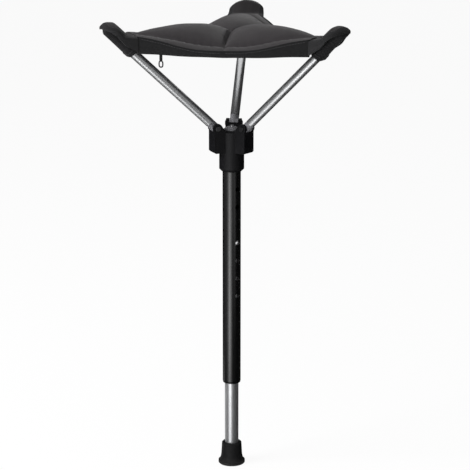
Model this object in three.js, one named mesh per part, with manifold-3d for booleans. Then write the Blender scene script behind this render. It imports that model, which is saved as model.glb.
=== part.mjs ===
// A one-legged folding stool: telescopic tube leg, three hinged arms and a padded three-corner seat.
// Millimetres, +Z up. The origin is the centre of the foot's sole; the back arm points along +Y.

import * as THREE from 'three';
import { mergeVertices } from 'three/addons/utils/BufferGeometryUtils.js';
import Module from 'manifold-3d';

const wasm = await Module();
wasm.setup();

// Clearances shared by all pieces
const seat_gap = 0.3;
const slide_gap = 0.2;
const cut_overrun = 2;

// Facets round each kind of turned piece
const tube_facets = 28;
const arm_facets = 18;
const small_facets = 12;
const dome_steps = 3;

// Rubber foot
const sole_radius = 17.6;
const foot_skirt_radius = 18.6;
const foot_skirt_height = 4.2;
const foot_edge_share = 0.25;
const foot_waist_radius = 14.4;
const foot_waist_height = 17.5;
const foot_top_radius = 13.7;
const foot_height = 31;
const foot_floor = 6;
const foot_rim_round = 1.2;
const tread_depth = 1.3;
const tread_width = 1.8;
const tread_wall_share = 0.17;
const tread_inner_radius = 7.5;
const tread_pitch = 5;
const tread_count = 2;
const washer_thickness = 1.6;
const head_round_share = 0.33;

// Lower tube, with the button that locks the height
const inner_tube_radius = 9.5;
const inner_tube_wall = 1.4;
const inner_tube_length = 329.8;
const inner_tube_show = 90.5;
const glider_height = 12;
const glider_stem_length = 9;
const glider_bore_radius = 4;
const glider_chamfer = 1;
const button_depth = 17;
const button_azimuth = THREE.MathUtils.degToRad(-44);
const button_radius = 3.1;
const button_hole_gap = 0.25;
const button_proud = 1.6;
const button_flange_radius = 4.2;
const button_flange_thickness = 0.8;
const spring_thickness = 0.7;
const spring_width = 7;
const spring_drop = 26;
const spring_rise = 5;
const spring_bend_steps = 8;

// Upper tube and its end bush
const outer_tube_radius = 12.5;
const outer_tube_wall = 1.5;
const outer_tube_show = 298.5;
const outer_tube_lip = 0.5;
const hole_pitch = 25;
const holes_each_way = 3;
const bush_flange_thickness = 1.8;
const bush_length = 24;
const bush_flange_inset = 0.3;

// Hub: a collar with three forked lugs
const collar_radius = 17;
const collar_height = 56;
const collar_chamfer = 3.4;
const collar_top_chamfer = 1.4;
const collar_roof = 6;
const lug_drop = 29;
const lug_reach = 29;
const lug_width = 21;
const lug_corner = 2;
const ear_radius = 6.6;
const pivot_radius = 24;
const pivot_rise = 5;
const ear_end_angle = THREE.MathUtils.degToRad(135);
const cap_radius = 10.6;
const cap_rise = 5;
const cap_rim_height = 1.6;
const cap_screw_head_radius = 3.3;
const cap_screw_head_height = 1.9;
const cap_screw_shank_radius = 2;
const cap_screw_length = 10;
const cap_screw_recess = 1.1;
const cap_screw_socket_radius = 1.5;
const hub_screw_rise = 13;
const hub_screw_azimuth = THREE.MathUtils.degToRad(90);
const hub_screw_shank_radius = 1.7;
const hub_screw_head_radius = 3.4;
const hub_screw_head_height = 1.8;
const hub_screw_crown_share = 0.8;
const hub_screw_reach_in = 1.6;

// Pivot pins
const pin_radius = 2;
const pin_gap = 0.15;
const pin_head_radius = 3.7;
const pin_head_height = 1.1;

// Arms
const arm_azimuths = {
  back: THREE.MathUtils.degToRad(90),
  left: THREE.MathUtils.degToRad(210),
  right: THREE.MathUtils.degToRad(330),
};
const arm_radius = 6.25;
const arm_wall = 0.8;
const arm_length = 204;
const arm_open_angle = THREE.MathUtils.degToRad(47);
const arm_closed_angle = THREE.MathUtils.degToRad(3);
const arm_slot_gap = 0.35;
const arm_sweep_share = 0.25;
const knuckle_length = 11;
const knuckle_plug_length = 16;
const knuckle_end_radius = 6.1;
const tip_cap_length = 4.5;
const tip_cap_radius = 6.35;
const tip_cap_plug_length = 12;
const tip_cap_round = 6;

// Seat
const seat_centre_drop = 11.1;
const seat_edge_radius = 90;
const seat_corner_overhang = 2.8;
const seat_corner_rise = 8;
const seat_edge_drop = 15.5;
const seat_corner_power = 5;
const seat_edge_power = 1.6;
const seat_droop_power = 4;
const seam_gap = 0.4;
const pad_inner_radius = 2.5;
const pad_end_setback = 32.2;
const pad_edge_thickness = 5;
const pad_crown = 9.5;
const pad_belly = 4;
const fullness_across_power = 2.6;
const fullness_along_power = 3.4;
const fullness_soft_power = 0.7;
const pad_rows = 13;
const pad_columns = 9;
const pad_end_columns = 3;
const binding_width = 4;
const binding_height = 9;
const binding_sag = 1.5;
const binding_corner_lift = 3;
const binding_round = 1.6;

// Corner patch and pocket
const patch_overhang = 8.8;
const patch_tip_half_width = 24;
const patch_thickness = 3;
const patch_ridge_radius = 28;
const patch_nose_radius = 6.5;
const patch_blend = 1.6;
const patch_nose_share = 0.5;
const patch_nose_end_share = 0.25;
const patch_wall = 2.4;
const patch_skirt_depth = 15.5;
const patch_skirt_power = 1.3;
const patch_rows = 8;
const patch_columns = 14;
const pocket_length = 46;
const pocket_cloth = 1.3;
const pocket_tip_gap = 0.6;
const pocket_mouth_half_width = 14.6;
const pocket_mouth_half_height = 8.6;
const pocket_facets = 16;
const pocket_steps = 4;

// Zip under the left pad
const zip_tape_width = 11;
const zip_tape_thickness = 1.1;
const zip_inset = 12;
const zip_start_angle = THREE.MathUtils.degToRad(10.5);
const slider_angle = THREE.MathUtils.degToRad(13);
const zip_gap = 0.6;
const zip_end_angle = THREE.MathUtils.degToRad(36);
const zip_steps = 8;
const slider_length = 9.5;
const slider_width = 7;
const slider_height = 3.2;
const slider_nose_share = 0.62;
const bail_wire = 0.8;
const bail_reach = 3.4;
const bail_span = 5.6;
const pull_length = 25;
const pull_eye_length = 7.4;
const pull_eye_width = 6.2;
const pull_tab_width = 3.8;
const pull_loop_length = 10;
const pull_loop_width = 6.6;
const pull_wire = 0.9;
const pull_gap = 0.35;
const bail_steps = 6;
const pull_bend_steps = 6;
const wire_facets = 6;

// Heights along the leg, from the foot upwards
const washer_bottom = foot_floor + seat_gap;
const inner_tube_bottom = washer_bottom + washer_thickness + seat_gap;
const inner_tube_top = inner_tube_bottom + inner_tube_length;
const button_height = inner_tube_top - button_depth;
const outer_tube_bottom = foot_height + inner_tube_show;
const collar_bottom = outer_tube_bottom + outer_tube_show;
const collar_top = collar_bottom + collar_height;
const outer_tube_top = collar_top - collar_roof - seat_gap;
const hub_screw_height = collar_bottom + hub_screw_rise;
const pivot_height = collar_top + pivot_rise;

// The open arm's tip, which carries the seat's corner
const tip_radius = pivot_radius + arm_length * Math.sin(arm_open_angle);
const tip_height = pivot_height + arm_length * Math.cos(arm_open_angle);
const seat_centre_height = tip_height - seat_centre_drop;
const seat_corner_radius = tip_radius + seat_corner_overhang;
const pad_end_reach = tip_radius - pad_end_setback;
const patch_reach = tip_radius + patch_overhang;

// Colours, roughness and metalness of each kind of material
const finishes = {
  rubber: { color: 0x222224, roughness: 0.85, metalness: 0 },
  steel: { color: 0xc9cacc, roughness: 0.3, metalness: 1 },
  aluminium: { color: 0xc4c6c8, roughness: 0.32, metalness: 1 },
  black_tube: { color: 0x0b0b0d, roughness: 0.22, metalness: 0.1 },
  nylon: { color: 0x1c1c20, roughness: 0.5, metalness: 0 },
  grey_nylon: { color: 0x66666a, roughness: 0.5, metalness: 0 },
  cloth: { color: 0x3a393b, roughness: 0.95, metalness: 0 },
  tape: { color: 0x161617, roughness: 0.8, metalness: 0 },
};

const stool = new THREE.Group();

// Names a solid, gives it its finish and hangs it in the scene
function add(name, geometry, finish) {
  const mesh = new THREE.Mesh(geometry, new THREE.MeshStandardMaterial(finishes[finish]));
  mesh.name = name;
  stool.add(mesh);
  return mesh;
}

// Six times the volume inside a mesh: negative when its faces point inwards
function signedVolume(geometry) {
  const at = geometry.attributes.position;
  const order = geometry.index.array;
  const [a, b, c] = [new THREE.Vector3(), new THREE.Vector3(), new THREE.Vector3()];
  let sum = 0;
  for (let corner = 0; corner < order.length; corner += 3) {
    a.fromBufferAttribute(at, order[corner]);
    b.fromBufferAttribute(at, order[corner + 1]);
    c.fromBufferAttribute(at, order[corner + 2]);
    sum += a.dot(b.cross(c));
  }
  return sum;
}

// Keeps only positions, merges shared corners and turns the faces outwards
function tidy(geometry) {
  geometry.deleteAttribute('normal');
  geometry.deleteAttribute('uv');
  const merged = mergeVertices(geometry);
  if (signedVolume(merged) < 0) {
    merged.index.array.reverse();
  }
  return merged;
}

function toSolid(geometry) {
  const merged = tidy(geometry);
  const vertProperties = new Float32Array(merged.attributes.position.array);
  const triVerts = new Uint32Array(merged.index.array);
  return new wasm.Manifold(new wasm.Mesh({ numProp: 3, vertProperties, triVerts }));
}

function toGeometry(solid) {
  const mesh = solid.getMesh();
  const geometry = new THREE.BufferGeometry();
  geometry.setAttribute('position', new THREE.BufferAttribute(mesh.vertProperties, 3));
  geometry.setIndex(new THREE.BufferAttribute(mesh.triVerts, 1));
  return geometry;
}

// Joins some solids and cuts others out of the result
function carve(joined, removed) {
  let solid = toSolid(joined[0]);
  for (const geometry of joined.slice(1)) {
    solid = solid.add(toSolid(geometry));
  }
  for (const geometry of removed) {
    solid = solid.subtract(toSolid(geometry));
  }
  return toGeometry(solid);
}

// Turns a profile of [radius, height] points about +Z
function turned(profile, facets) {
  const points = profile.map(([radius, height]) => new THREE.Vector2(radius, height));
  return new THREE.LatheGeometry(points, facets).rotateX(Math.PI / 2);
}

// A plain tube; the profile closes on itself
function tube(outer, inner, bottom, top, facets) {
  return turned([[outer, bottom], [outer, top], [inner, top], [inner, bottom], [outer, bottom]], facets);
}

// A round bar along +Z
function bar(radius, bottom, top, facets) {
  return turned([[0, bottom], [radius, bottom], [radius, top], [0, top]], facets);
}

// Extrudes an outline of [across, up] points by a thickness centred on its plane. The outline's
// across becomes X and its up becomes Z, so the thickness runs along Y.
function plate(outline, thickness) {
  const shape = new THREE.Shape(outline.map(([across, up]) => new THREE.Vector2(across, up)));
  const geometry = new THREE.ExtrudeGeometry(shape, { depth: thickness, bevelEnabled: false });
  return geometry.translate(0, 0, -thickness / 2).rotateX(Math.PI / 2);
}

// Skins a row of closed rings and closes both ends with a ladder of faces, which suits any ring
// whose point k lies opposite its point (last - k)
function loft(rings) {
  const count = rings[0].length;
  const index = [];
  const quad = (a, b, c, d) => index.push(a, b, c, a, c, d);
  for (let ring = 0; ring + 1 < rings.length; ring += 1) {
    for (let side = 0; side < count; side += 1) {
      const next = (side + 1) % count;
      const near = ring * count;
      const far = near + count;
      quad(near + side, near + next, far + next, far + side);
    }
  }
  const last = (rings.length - 1) * count;
  for (let step = 0; step + 1 < count / 2; step += 1) {
    const across = count - 1 - step;
    quad(step + 1, step, across, across - 1);
    quad(last + step, last + step + 1, last + across - 1, last + across);
  }
  const geometry = new THREE.BufferGeometry();
  const positions = rings.flat().flatMap((point) => [point.x, point.y, point.z]);
  geometry.setAttribute('position', new THREE.Float32BufferAttribute(positions, 3));
  geometry.setIndex(index);
  return tidy(geometry);
}

// Places a solid made along +Z so that it runs outwards from the axis at an azimuth and height
function outwards(geometry, azimuth, height) {
  return geometry.rotateY(Math.PI / 2).rotateZ(azimuth).translate(0, 0, height);
}

// Foot
function rubberFoot() {
  const socket_radius = inner_tube_radius + slide_gap;
  const profile = [[0, 0]];
  for (let ring = 0; ring < tread_count; ring += 1) {
    const start = tread_inner_radius + ring * tread_pitch;
    const slope = tread_width * tread_wall_share;
    profile.push([start, 0], [start + slope, tread_depth]);
    profile.push([start + tread_width - slope, tread_depth], [start + tread_width, 0]);
  }
  profile.push([sole_radius, 0], [foot_skirt_radius, foot_skirt_height * foot_edge_share]);
  profile.push([foot_skirt_radius, foot_skirt_height]);
  const flare_steps = 4;
  for (let step = 1; step <= flare_steps; step += 1) {
    const turn = (step / flare_steps) * (Math.PI / 2);
    const radius = foot_skirt_radius + (foot_waist_radius - foot_skirt_radius) * Math.sin(turn);
    const height = foot_skirt_height + (foot_waist_height - foot_skirt_height) * (1 - Math.cos(turn));
    profile.push([radius, height]);
  }
  profile.push([foot_top_radius, foot_height - foot_rim_round]);
  profile.push([foot_top_radius - foot_rim_round, foot_height]);
  profile.push([socket_radius + foot_rim_round / 2, foot_height]);
  profile.push([socket_radius, foot_height - foot_rim_round / 2]);
  profile.push([socket_radius, foot_floor], [0, foot_floor]);
  return turned(profile, tube_facets);
}

const inner_bore_radius = inner_tube_radius - inner_tube_wall;
const outer_bore_radius = outer_tube_radius - outer_tube_wall;

add('rubber_foot', rubberFoot(), 'rubber');
add('foot_washer', bar(inner_tube_radius - seat_gap, washer_bottom,
  washer_bottom + washer_thickness, tube_facets), 'steel');

// Lower tube, its top glider, the lock button and the spring clip behind it
function innerTube() {
  const wall = tube(inner_tube_radius, inner_bore_radius, inner_tube_bottom, inner_tube_top, tube_facets);
  const drill = bar(button_radius + button_hole_gap, 0, inner_tube_radius + cut_overrun, small_facets);
  return carve([wall], [outwards(drill, button_azimuth, button_height)]);
}

function topGlider() {
  const stem_radius = inner_bore_radius - slide_gap;
  const flange_radius = outer_bore_radius - slide_gap;
  const bottom = inner_tube_top + seat_gap;
  const top = bottom + glider_height;
  return turned([
    [stem_radius, inner_tube_top - glider_stem_length],
    [stem_radius, bottom],
    [flange_radius, bottom],
    [flange_radius, top - glider_chamfer],
    [flange_radius - glider_chamfer, top],
    [glider_bore_radius, top],
    [glider_bore_radius, inner_tube_top - glider_stem_length],
    [stem_radius, inner_tube_top - glider_stem_length],
  ], tube_facets);
}

const button_flange_top = Math.sqrt(inner_bore_radius ** 2 - button_flange_radius ** 2) - seat_gap;
const button_flange_bottom = button_flange_top - button_flange_thickness;
const button_tip = outer_tube_radius + button_proud;

function lockButton() {
  const profile = [[0, button_flange_bottom], [button_flange_radius, button_flange_bottom]];
  profile.push([button_flange_radius, button_flange_top - button_flange_thickness / 2]);
  profile.push([button_radius, button_flange_top]);
  for (let step = 0; step <= dome_steps; step += 1) {
    const turn = (step / dome_steps) * (Math.PI / 2);
    const height = button_tip - button_proud * (1 - Math.sin(turn));
    profile.push([button_radius * Math.cos(turn), height]);
  }
  return outwards(turned(profile, small_facets), button_azimuth, button_height);
}

// The clip is one strip bent into a V: one leg behind the button, the other against the far wall
function buttonSpring() {
  const half = spring_width / 2;
  const far_wall = Math.sqrt(inner_bore_radius ** 2 - half ** 2) - seat_gap;
  const front = button_flange_bottom - seat_gap;
  const bend_radius = (front + far_wall) / 4;
  const bend_middle = (front - far_wall) / 2;
  const leg_top = button_height + spring_rise;
  const bend_height = button_height - spring_drop;
  const outer = [[front, leg_top]];
  const inner = [[front - spring_thickness, leg_top]];
  for (let step = 0; step <= spring_bend_steps; step += 1) {
    const turn = (step / spring_bend_steps) * Math.PI;
    const reach = Math.cos(turn);
    const fall = Math.sin(turn);
    const inside = bend_radius - spring_thickness;
    outer.push([bend_middle + bend_radius * reach, bend_height - bend_radius * fall]);
    inner.push([bend_middle + inside * reach, bend_height - inside * fall]);
  }
  outer.push([-far_wall, leg_top]);
  inner.push([-far_wall + spring_thickness, leg_top]);
  return plate([...outer, ...inner.reverse()], spring_width).rotateZ(button_azimuth);
}

add('inner_tube', innerTube(), 'aluminium');
add('inner_tube_glider', topGlider(), 'nylon');
add('lock_button', lockButton(), 'steel');
add('button_spring', buttonSpring(), 'steel');

// Upper tube with its row of height holes, and the bush in its lower end
function outerTube() {
  const wall = turned([
    [outer_bore_radius, outer_tube_bottom],
    [outer_tube_radius - outer_tube_lip, outer_tube_bottom],
    [outer_tube_radius, outer_tube_bottom + outer_tube_lip],
    [outer_tube_radius, outer_tube_top],
    [outer_bore_radius, outer_tube_top],
    [outer_bore_radius, outer_tube_bottom],
  ], tube_facets);
  const removed = [];
  for (let place = -holes_each_way; place <= holes_each_way; place += 1) {
    const drill = bar(button_radius + button_hole_gap, 0, outer_tube_radius + cut_overrun, small_facets);
    removed.push(outwards(drill, button_azimuth, button_height + place * hole_pitch));
  }
  const screw_hole_radius = hub_screw_shank_radius + slide_gap;
  const screw_hole = bar(screw_hole_radius, 0, outer_tube_radius + cut_overrun, small_facets);
  removed.push(outwards(screw_hole, hub_screw_azimuth, hub_screw_height));
  return carve([wall], removed);
}

function guideBush() {
  const inner = inner_tube_radius + slide_gap;
  const sleeve = outer_bore_radius - slide_gap;
  const flange = outer_tube_radius - bush_flange_inset;
  const flange_top = outer_tube_bottom - seat_gap;
  const flange_bottom = flange_top - bush_flange_thickness;
  const round = bush_flange_thickness * head_round_share;
  return turned([
    [inner, flange_bottom],
    [flange - round, flange_bottom],
    [flange, flange_bottom + round],
    [flange, flange_top],
    [sleeve, flange_top],
    [sleeve, flange_top + bush_length],
    [inner, flange_top + bush_length],
    [inner, flange_bottom],
  ], tube_facets);
}

add('outer_tube', outerTube(), 'black_tube');
add('guide_bush', guideBush(), 'nylon');

// Hub. A lug's side view, in [out, up], is one outline; the arm's sweep is cut out of its middle.
const ear_facets = 18;
const fork_gap = arm_radius + arm_slot_gap;

function alongArm(angle, distance, offset) {
  const out = pivot_radius + distance * Math.sin(angle) - offset * Math.cos(angle);
  const up = pivot_height + distance * Math.cos(angle) + offset * Math.sin(angle);
  return [out, up];
}

function lugSideView() {
  const bottom = collar_top - lug_drop;
  const outline = [[collar_radius / 2, bottom]];
  outline.push([lug_reach - lug_corner, bottom], [lug_reach, bottom + lug_corner]);
  outline.push([lug_reach, pivot_height - ear_radius]);
  const start = -Math.acos((lug_reach - pivot_radius) / ear_radius);
  for (let step = 0; step <= ear_facets / 2; step += 1) {
    const turn = start + ((ear_end_angle - start) * step) / (ear_facets / 2);
    outline.push([pivot_radius + ear_radius * Math.cos(turn), pivot_height + ear_radius * Math.sin(turn)]);
  }
  outline.push([cap_radius + lug_corner, collar_top], [collar_radius / 2, collar_top - collar_top_chamfer]);
  return outline;
}

function armSweepView() {
  const reach = arm_length * arm_sweep_share;
  return [
    alongArm(arm_open_angle, 0, -fork_gap),
    alongArm(arm_open_angle, reach, -fork_gap),
    alongArm(arm_closed_angle, reach, fork_gap),
    alongArm(arm_closed_angle, 0, fork_gap),
  ];
}

function hub() {
  const bore = outer_tube_radius + slide_gap;
  const collar = turned([
    [0, collar_bottom],
    [collar_radius - collar_chamfer, collar_bottom],
    [collar_radius, collar_bottom + collar_chamfer],
    [collar_radius, collar_top - collar_top_chamfer],
    [collar_radius - collar_top_chamfer, collar_top],
    [0, collar_top],
  ], tube_facets);
  const joined = [collar];
  const removed = [];
  for (const azimuth of Object.values(arm_azimuths)) {
    joined.push(plate(lugSideView(), lug_width).rotateZ(azimuth));
    removed.push(plate(armSweepView(), 2 * fork_gap).rotateZ(azimuth));
    const eye = bar(fork_gap, -fork_gap, fork_gap, ear_facets).rotateX(Math.PI / 2);
    removed.push(eye.translate(pivot_radius, 0, pivot_height).rotateZ(azimuth));
    const pin_hole = bar(pin_radius + pin_gap, -lug_width, lug_width, small_facets).rotateX(Math.PI / 2);
    removed.push(pin_hole.translate(pivot_radius, 0, pivot_height).rotateZ(azimuth));
  }
  removed.push(bar(bore, collar_bottom - cut_overrun, collar_top - collar_roof, tube_facets));
  const cap_hole_radius = cap_screw_shank_radius + slide_gap;
  removed.push(bar(cap_hole_radius, collar_bottom, collar_top + cut_overrun, small_facets));
  const screw_hole = bar(hub_screw_shank_radius + slide_gap, 0, collar_radius + cut_overrun, small_facets);
  removed.push(outwards(screw_hole, hub_screw_azimuth, hub_screw_height));
  return carve(joined, removed);
}

// The cap is a shallow dome with a seat for its screw
const cap_seat_height = collar_top + seat_gap + cap_rise - cap_screw_head_height / 2;

function hubTopCap() {
  const bottom = collar_top + seat_gap;
  const hole = cap_screw_shank_radius + slide_gap;
  const seat = cap_screw_head_radius + slide_gap;
  const profile = [[hole, bottom], [cap_radius, bottom]];
  for (let step = 0; step <= dome_steps; step += 1) {
    const share = step / dome_steps;
    const radius = cap_radius + (seat - cap_radius) * share;
    const climb = Math.sin((share * Math.PI) / 2);
    profile.push([radius, bottom + cap_rim_height + (cap_rise - cap_rim_height) * climb]);
  }
  profile.push([seat, cap_seat_height], [hole, cap_seat_height], [hole, bottom]);
  return turned(profile, tube_facets);
}

function capScrew() {
  const head_bottom = cap_seat_height + seat_gap;
  const head_top = head_bottom + cap_screw_head_height;
  const round = cap_screw_head_height * head_round_share;
  return turned([
    [0, head_bottom - cap_screw_length],
    [cap_screw_shank_radius, head_bottom - cap_screw_length],
    [cap_screw_shank_radius, head_bottom],
    [cap_screw_head_radius, head_bottom],
    [cap_screw_head_radius, head_top - round],
    [cap_screw_head_radius - round, head_top],
    [cap_screw_socket_radius, head_top],
    [cap_screw_socket_radius, head_top - cap_screw_recess],
    [0, head_top - cap_screw_recess],
  ], small_facets);
}

function hubScrew() {
  const head_bottom = collar_radius + seat_gap;
  const head_top = head_bottom + hub_screw_head_height;
  const tip = outer_bore_radius - hub_screw_reach_in;
  return outwards(turned([
    [0, tip],
    [hub_screw_shank_radius, tip],
    [hub_screw_shank_radius, head_bottom],
    [hub_screw_head_radius, head_bottom],
    [hub_screw_head_radius * hub_screw_crown_share, head_top],
    [0, head_top],
  ], small_facets), hub_screw_azimuth, hub_screw_height);
}

add('hub', hub(), 'nylon');
add('hub_top_cap', hubTopCap(), 'grey_nylon');
add('cap_screw', capScrew(), 'steel');
add('hub_screw', hubScrew(), 'steel');

// Arms. Each is made along +Z from its pivot, then leaned outwards and turned to its azimuth.
const arm_bore_radius = arm_radius - arm_wall;
const plug_radius = arm_bore_radius - slide_gap;
const arm_tube_start = knuckle_length + seat_gap;
const arm_tube_end = arm_length - tip_cap_length;

function placedOnArm(geometry, azimuth) {
  return geometry.rotateY(arm_open_angle).translate(pivot_radius, 0, pivot_height).rotateZ(azimuth);
}

function pivotPin(azimuth) {
  const shank_end = lug_width / 2 + seat_gap;
  const head_end = shank_end + pin_head_height;
  const round = pin_head_height * head_round_share;
  const pin = turned([
    [0, -head_end],
    [pin_head_radius - round, -head_end],
    [pin_head_radius, -head_end + round],
    [pin_head_radius, -shank_end],
    [pin_radius, -shank_end],
    [pin_radius, shank_end],
    [pin_head_radius, shank_end],
    [pin_head_radius, head_end - round],
    [pin_head_radius - round, head_end],
    [0, head_end],
  ], small_facets);
  return pin.rotateX(Math.PI / 2).translate(pivot_radius, 0, pivot_height).rotateZ(azimuth);
}

function armKnuckle(azimuth) {
  const round = bar(knuckle_end_radius, -knuckle_end_radius, knuckle_end_radius, ear_facets);
  const eye = round.rotateX(Math.PI / 2);
  const shank = bar(knuckle_end_radius, 0, knuckle_length, arm_facets);
  const plug = bar(plug_radius, 0, knuckle_length + knuckle_plug_length, arm_facets);
  const pin_hole = bar(pin_radius + pin_gap, -lug_width, lug_width, small_facets).rotateX(Math.PI / 2);
  return placedOnArm(carve([eye, shank, plug], [pin_hole]), azimuth);
}

function tipCap(azimuth) {
  const flange_bottom = arm_tube_end + seat_gap;
  const dome_bottom = arm_length + tip_cap_length - tip_cap_round;
  const plug_end = flange_bottom - tip_cap_plug_length;
  const profile = [[0, plug_end], [plug_radius, plug_end]];
  profile.push([plug_radius, flange_bottom], [tip_cap_radius, flange_bottom]);
  for (let step = 0; step <= dome_steps; step += 1) {
    const turn = (step / dome_steps) * (Math.PI / 2);
    const round = tip_cap_radius * Math.cos(turn);
    profile.push([round, dome_bottom + tip_cap_round * Math.sin(turn)]);
  }
  return placedOnArm(turned(profile, arm_facets), azimuth);
}

// The pocket is a flattened sleeve over the arm's tip: wide at its mouth, shut at its end
function cornerPocket(azimuth) {
  const tip_half = tip_cap_radius + pocket_tip_gap + pocket_cloth;
  const tip_end = arm_length + tip_cap_length + pocket_tip_gap + pocket_cloth;
  const mouth = tip_end - pocket_length - tip_cap_length;
  const round_length = tip_cap_round + pocket_tip_gap + pocket_cloth;
  const body_end = tip_end - round_length;
  const ring = (along, half_width, half_height) => {
    const points = [];
    for (let facet = 0; facet < pocket_facets; facet += 1) {
      const turn = ((facet + 0.5) / pocket_facets) * 2 * Math.PI;
      points.push(new THREE.Vector3(half_height * Math.cos(turn), half_width * Math.sin(turn), along));
    }
    return points;
  };
  const sleeve = (cloth, start, end) => {
    const rings = [];
    for (let step = 0; step <= pocket_steps; step += 1) {
      const share = step / pocket_steps;
      const along = mouth + (body_end - mouth) * share;
      const narrowing = Math.sin((share * Math.PI) / 2);
      const half_width = pocket_mouth_half_width + (tip_half - pocket_mouth_half_width) * narrowing;
      const half_height = pocket_mouth_half_height + (tip_half - pocket_mouth_half_height) * narrowing;
      rings.push(ring(along, half_width - cloth, half_height - cloth));
    }
    for (let step = 1; step < pocket_steps; step += 1) {
      const turn = (step / pocket_steps) * (Math.PI / 2);
      const size = (tip_half - cloth) * Math.cos(turn);
      rings.push(ring(body_end + (end - body_end) * Math.sin(turn), size, size));
    }
    if (start < mouth) {
      const first = rings[0].map((point) => point.clone().setZ(start));
      rings.unshift(first);
    }
    return loft(rings);
  };
  const skin = sleeve(0, mouth, tip_end);
  const hollow = sleeve(pocket_cloth, mouth - cut_overrun, tip_end - pocket_cloth);
  return placedOnArm(carve([skin], [hollow]), azimuth);
}

for (const [side, azimuth] of Object.entries(arm_azimuths)) {
  const arm_tube = tube(arm_radius, arm_bore_radius, arm_tube_start, arm_tube_end, arm_facets);
  add(`pivot_pin_${side}`, pivotPin(azimuth), 'steel');
  add(`arm_knuckle_${side}`, armKnuckle(azimuth), 'grey_nylon');
  add(`arm_tube_${side}`, placedOnArm(arm_tube, azimuth), 'aluminium');
  add(`arm_tip_cap_${side}`, tipCap(azimuth), 'nylon');
  add(`corner_pocket_${side}`, cornerPocket(azimuth), 'tape');
}

// Seat surface. A sector of 60 degrees runs from a corner's line, at angle 0, to the middle of a
// side. The corner's line climbs to the arm's tip, and the cloth droops away from it on both sides.
const sector = Math.PI / 3;
const half_turn_share = Math.PI / 2 / sector;
const outline_power = Math.log(seat_corner_radius / seat_edge_radius) / Math.log(2);

function edgeRadius(angle) {
  return seat_edge_radius / Math.cos(sector - angle) ** outline_power;
}

function seatHeight(radius, angle) {
  const edge_reach = radius / edgeRadius(angle);
  const corner_reach = radius / seat_corner_radius;
  const corner_share = Math.cos(angle * half_turn_share) ** 2;
  const held_share = Math.cos(angle * half_turn_share) ** seat_droop_power;
  const climb = seat_corner_rise * corner_share * corner_reach ** seat_corner_power;
  const sag = seat_edge_drop * (1 - held_share) * edge_reach ** seat_edge_power;
  return seat_centre_height + climb - sag;
}

// How full a pad is: 1 at its middle, 0 along its seams and its rim
function padFullness(reach, angle) {
  const across = Math.sqrt(1 - (angle / sector) ** fullness_across_power);
  const rim = Math.abs(2 * reach - 1) ** fullness_along_power;
  const along = Math.max(0, 1 - rim) ** fullness_soft_power;
  return across * along;
}

// The angle at which a pad's blunt corner end meets its outer edge
function padEndAngle() {
  const halvings = 40;
  let low = 0;
  let high = sector;
  for (let step = 0; step < halvings; step += 1) {
    const middle = (low + high) / 2;
    if (edgeRadius(middle) * Math.cos(middle) > pad_end_reach) {
      low = middle;
    } else {
      high = middle;
    }
  }
  return low;
}

const pad_end_angle = padEndAngle();

function padOuterRadius(angle) {
  return Math.min(edgeRadius(angle), pad_end_reach / Math.cos(angle));
}

// Pads keep a seam gap by sliding each sector outwards along its own middle line
function inSector(radius, angle, height) {
  const across = radius * Math.cos(angle) + seam_gap * Math.cos(sector / 2);
  const aside = radius * Math.sin(angle) + seam_gap * Math.sin(sector / 2);
  return new THREE.Vector3(across, aside, height);
}

function padTop(radius, angle) {
  const reach = radius / padOuterRadius(angle);
  return seatHeight(radius, angle) + pad_edge_thickness / 2 + pad_crown * padFullness(reach, angle);
}

function padBottom(radius, angle) {
  const reach = radius / padOuterRadius(angle);
  return seatHeight(radius, angle) - pad_edge_thickness / 2 - pad_belly * padFullness(reach, angle);
}

function halfPad() {
  const angles = [];
  for (let step = 0; step < pad_end_columns; step += 1) {
    angles.push((pad_end_angle * step) / pad_end_columns);
  }
  for (let step = 0; step <= pad_columns; step += 1) {
    angles.push(pad_end_angle + ((sector - pad_end_angle) * step) / pad_columns);
  }
  const rings = angles.map((angle) => {
    const top = [];
    const bottom = [];
    for (let row = 0; row <= pad_rows; row += 1) {
      const share = (1 - Math.cos((row / pad_rows) * Math.PI)) / 2;
      const radius = pad_inner_radius + (padOuterRadius(angle) - pad_inner_radius) * share;
      top.push(inSector(radius, angle, padTop(radius, angle)));
      bottom.push(inSector(radius, angle, padBottom(radius, angle)));
    }
    return [...top, ...bottom.reverse()];
  });
  return loft(rings);
}

// The binding is a soft rounded band round the pad's outer edge. Its lower rim runs nearly level,
// so the band is narrow at the side's middle and wide beside the corners, where the edge is higher.
function bindingSection(top, bottom) {
  return [
    [0, top - binding_round],
    [binding_width / 2, top],
    [binding_width, top - binding_round],
    [binding_width, bottom + binding_round],
    [binding_width / 2, bottom],
    [0, bottom + binding_round],
  ];
}

function halfBinding() {
  const rings = [];
  const lowest = seat_centre_height - seat_edge_drop - binding_sag - binding_height / 2;
  for (let step = 0; step <= pad_columns; step += 1) {
    const share = step / pad_columns;
    const angle = pad_end_angle + (sector - pad_end_angle) * share;
    const radius = edgeRadius(angle);
    const facing = Math.PI / 2 + (sector - Math.PI / 2) * share;
    const top = seatHeight(radius, angle) - binding_sag + binding_height / 2;
    const bottom = lowest + binding_corner_lift * (1 - share) ** 2;
    rings.push(bindingSection(top, bottom).map(([out, height]) => {
      const foot = inSector(radius, angle, height);
      const width = seat_gap + out;
      return foot.add(new THREE.Vector3(width * Math.cos(facing), width * Math.sin(facing), 0));
    }));
  }
  return loft(rings);
}

function softMax(one, other, blend) {
  return (one + other + Math.sqrt((one - other) ** 2 + blend ** 2)) / 2;
}

function softMin(one, other, blend) {
  return -softMax(-one, -other, blend);
}

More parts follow.
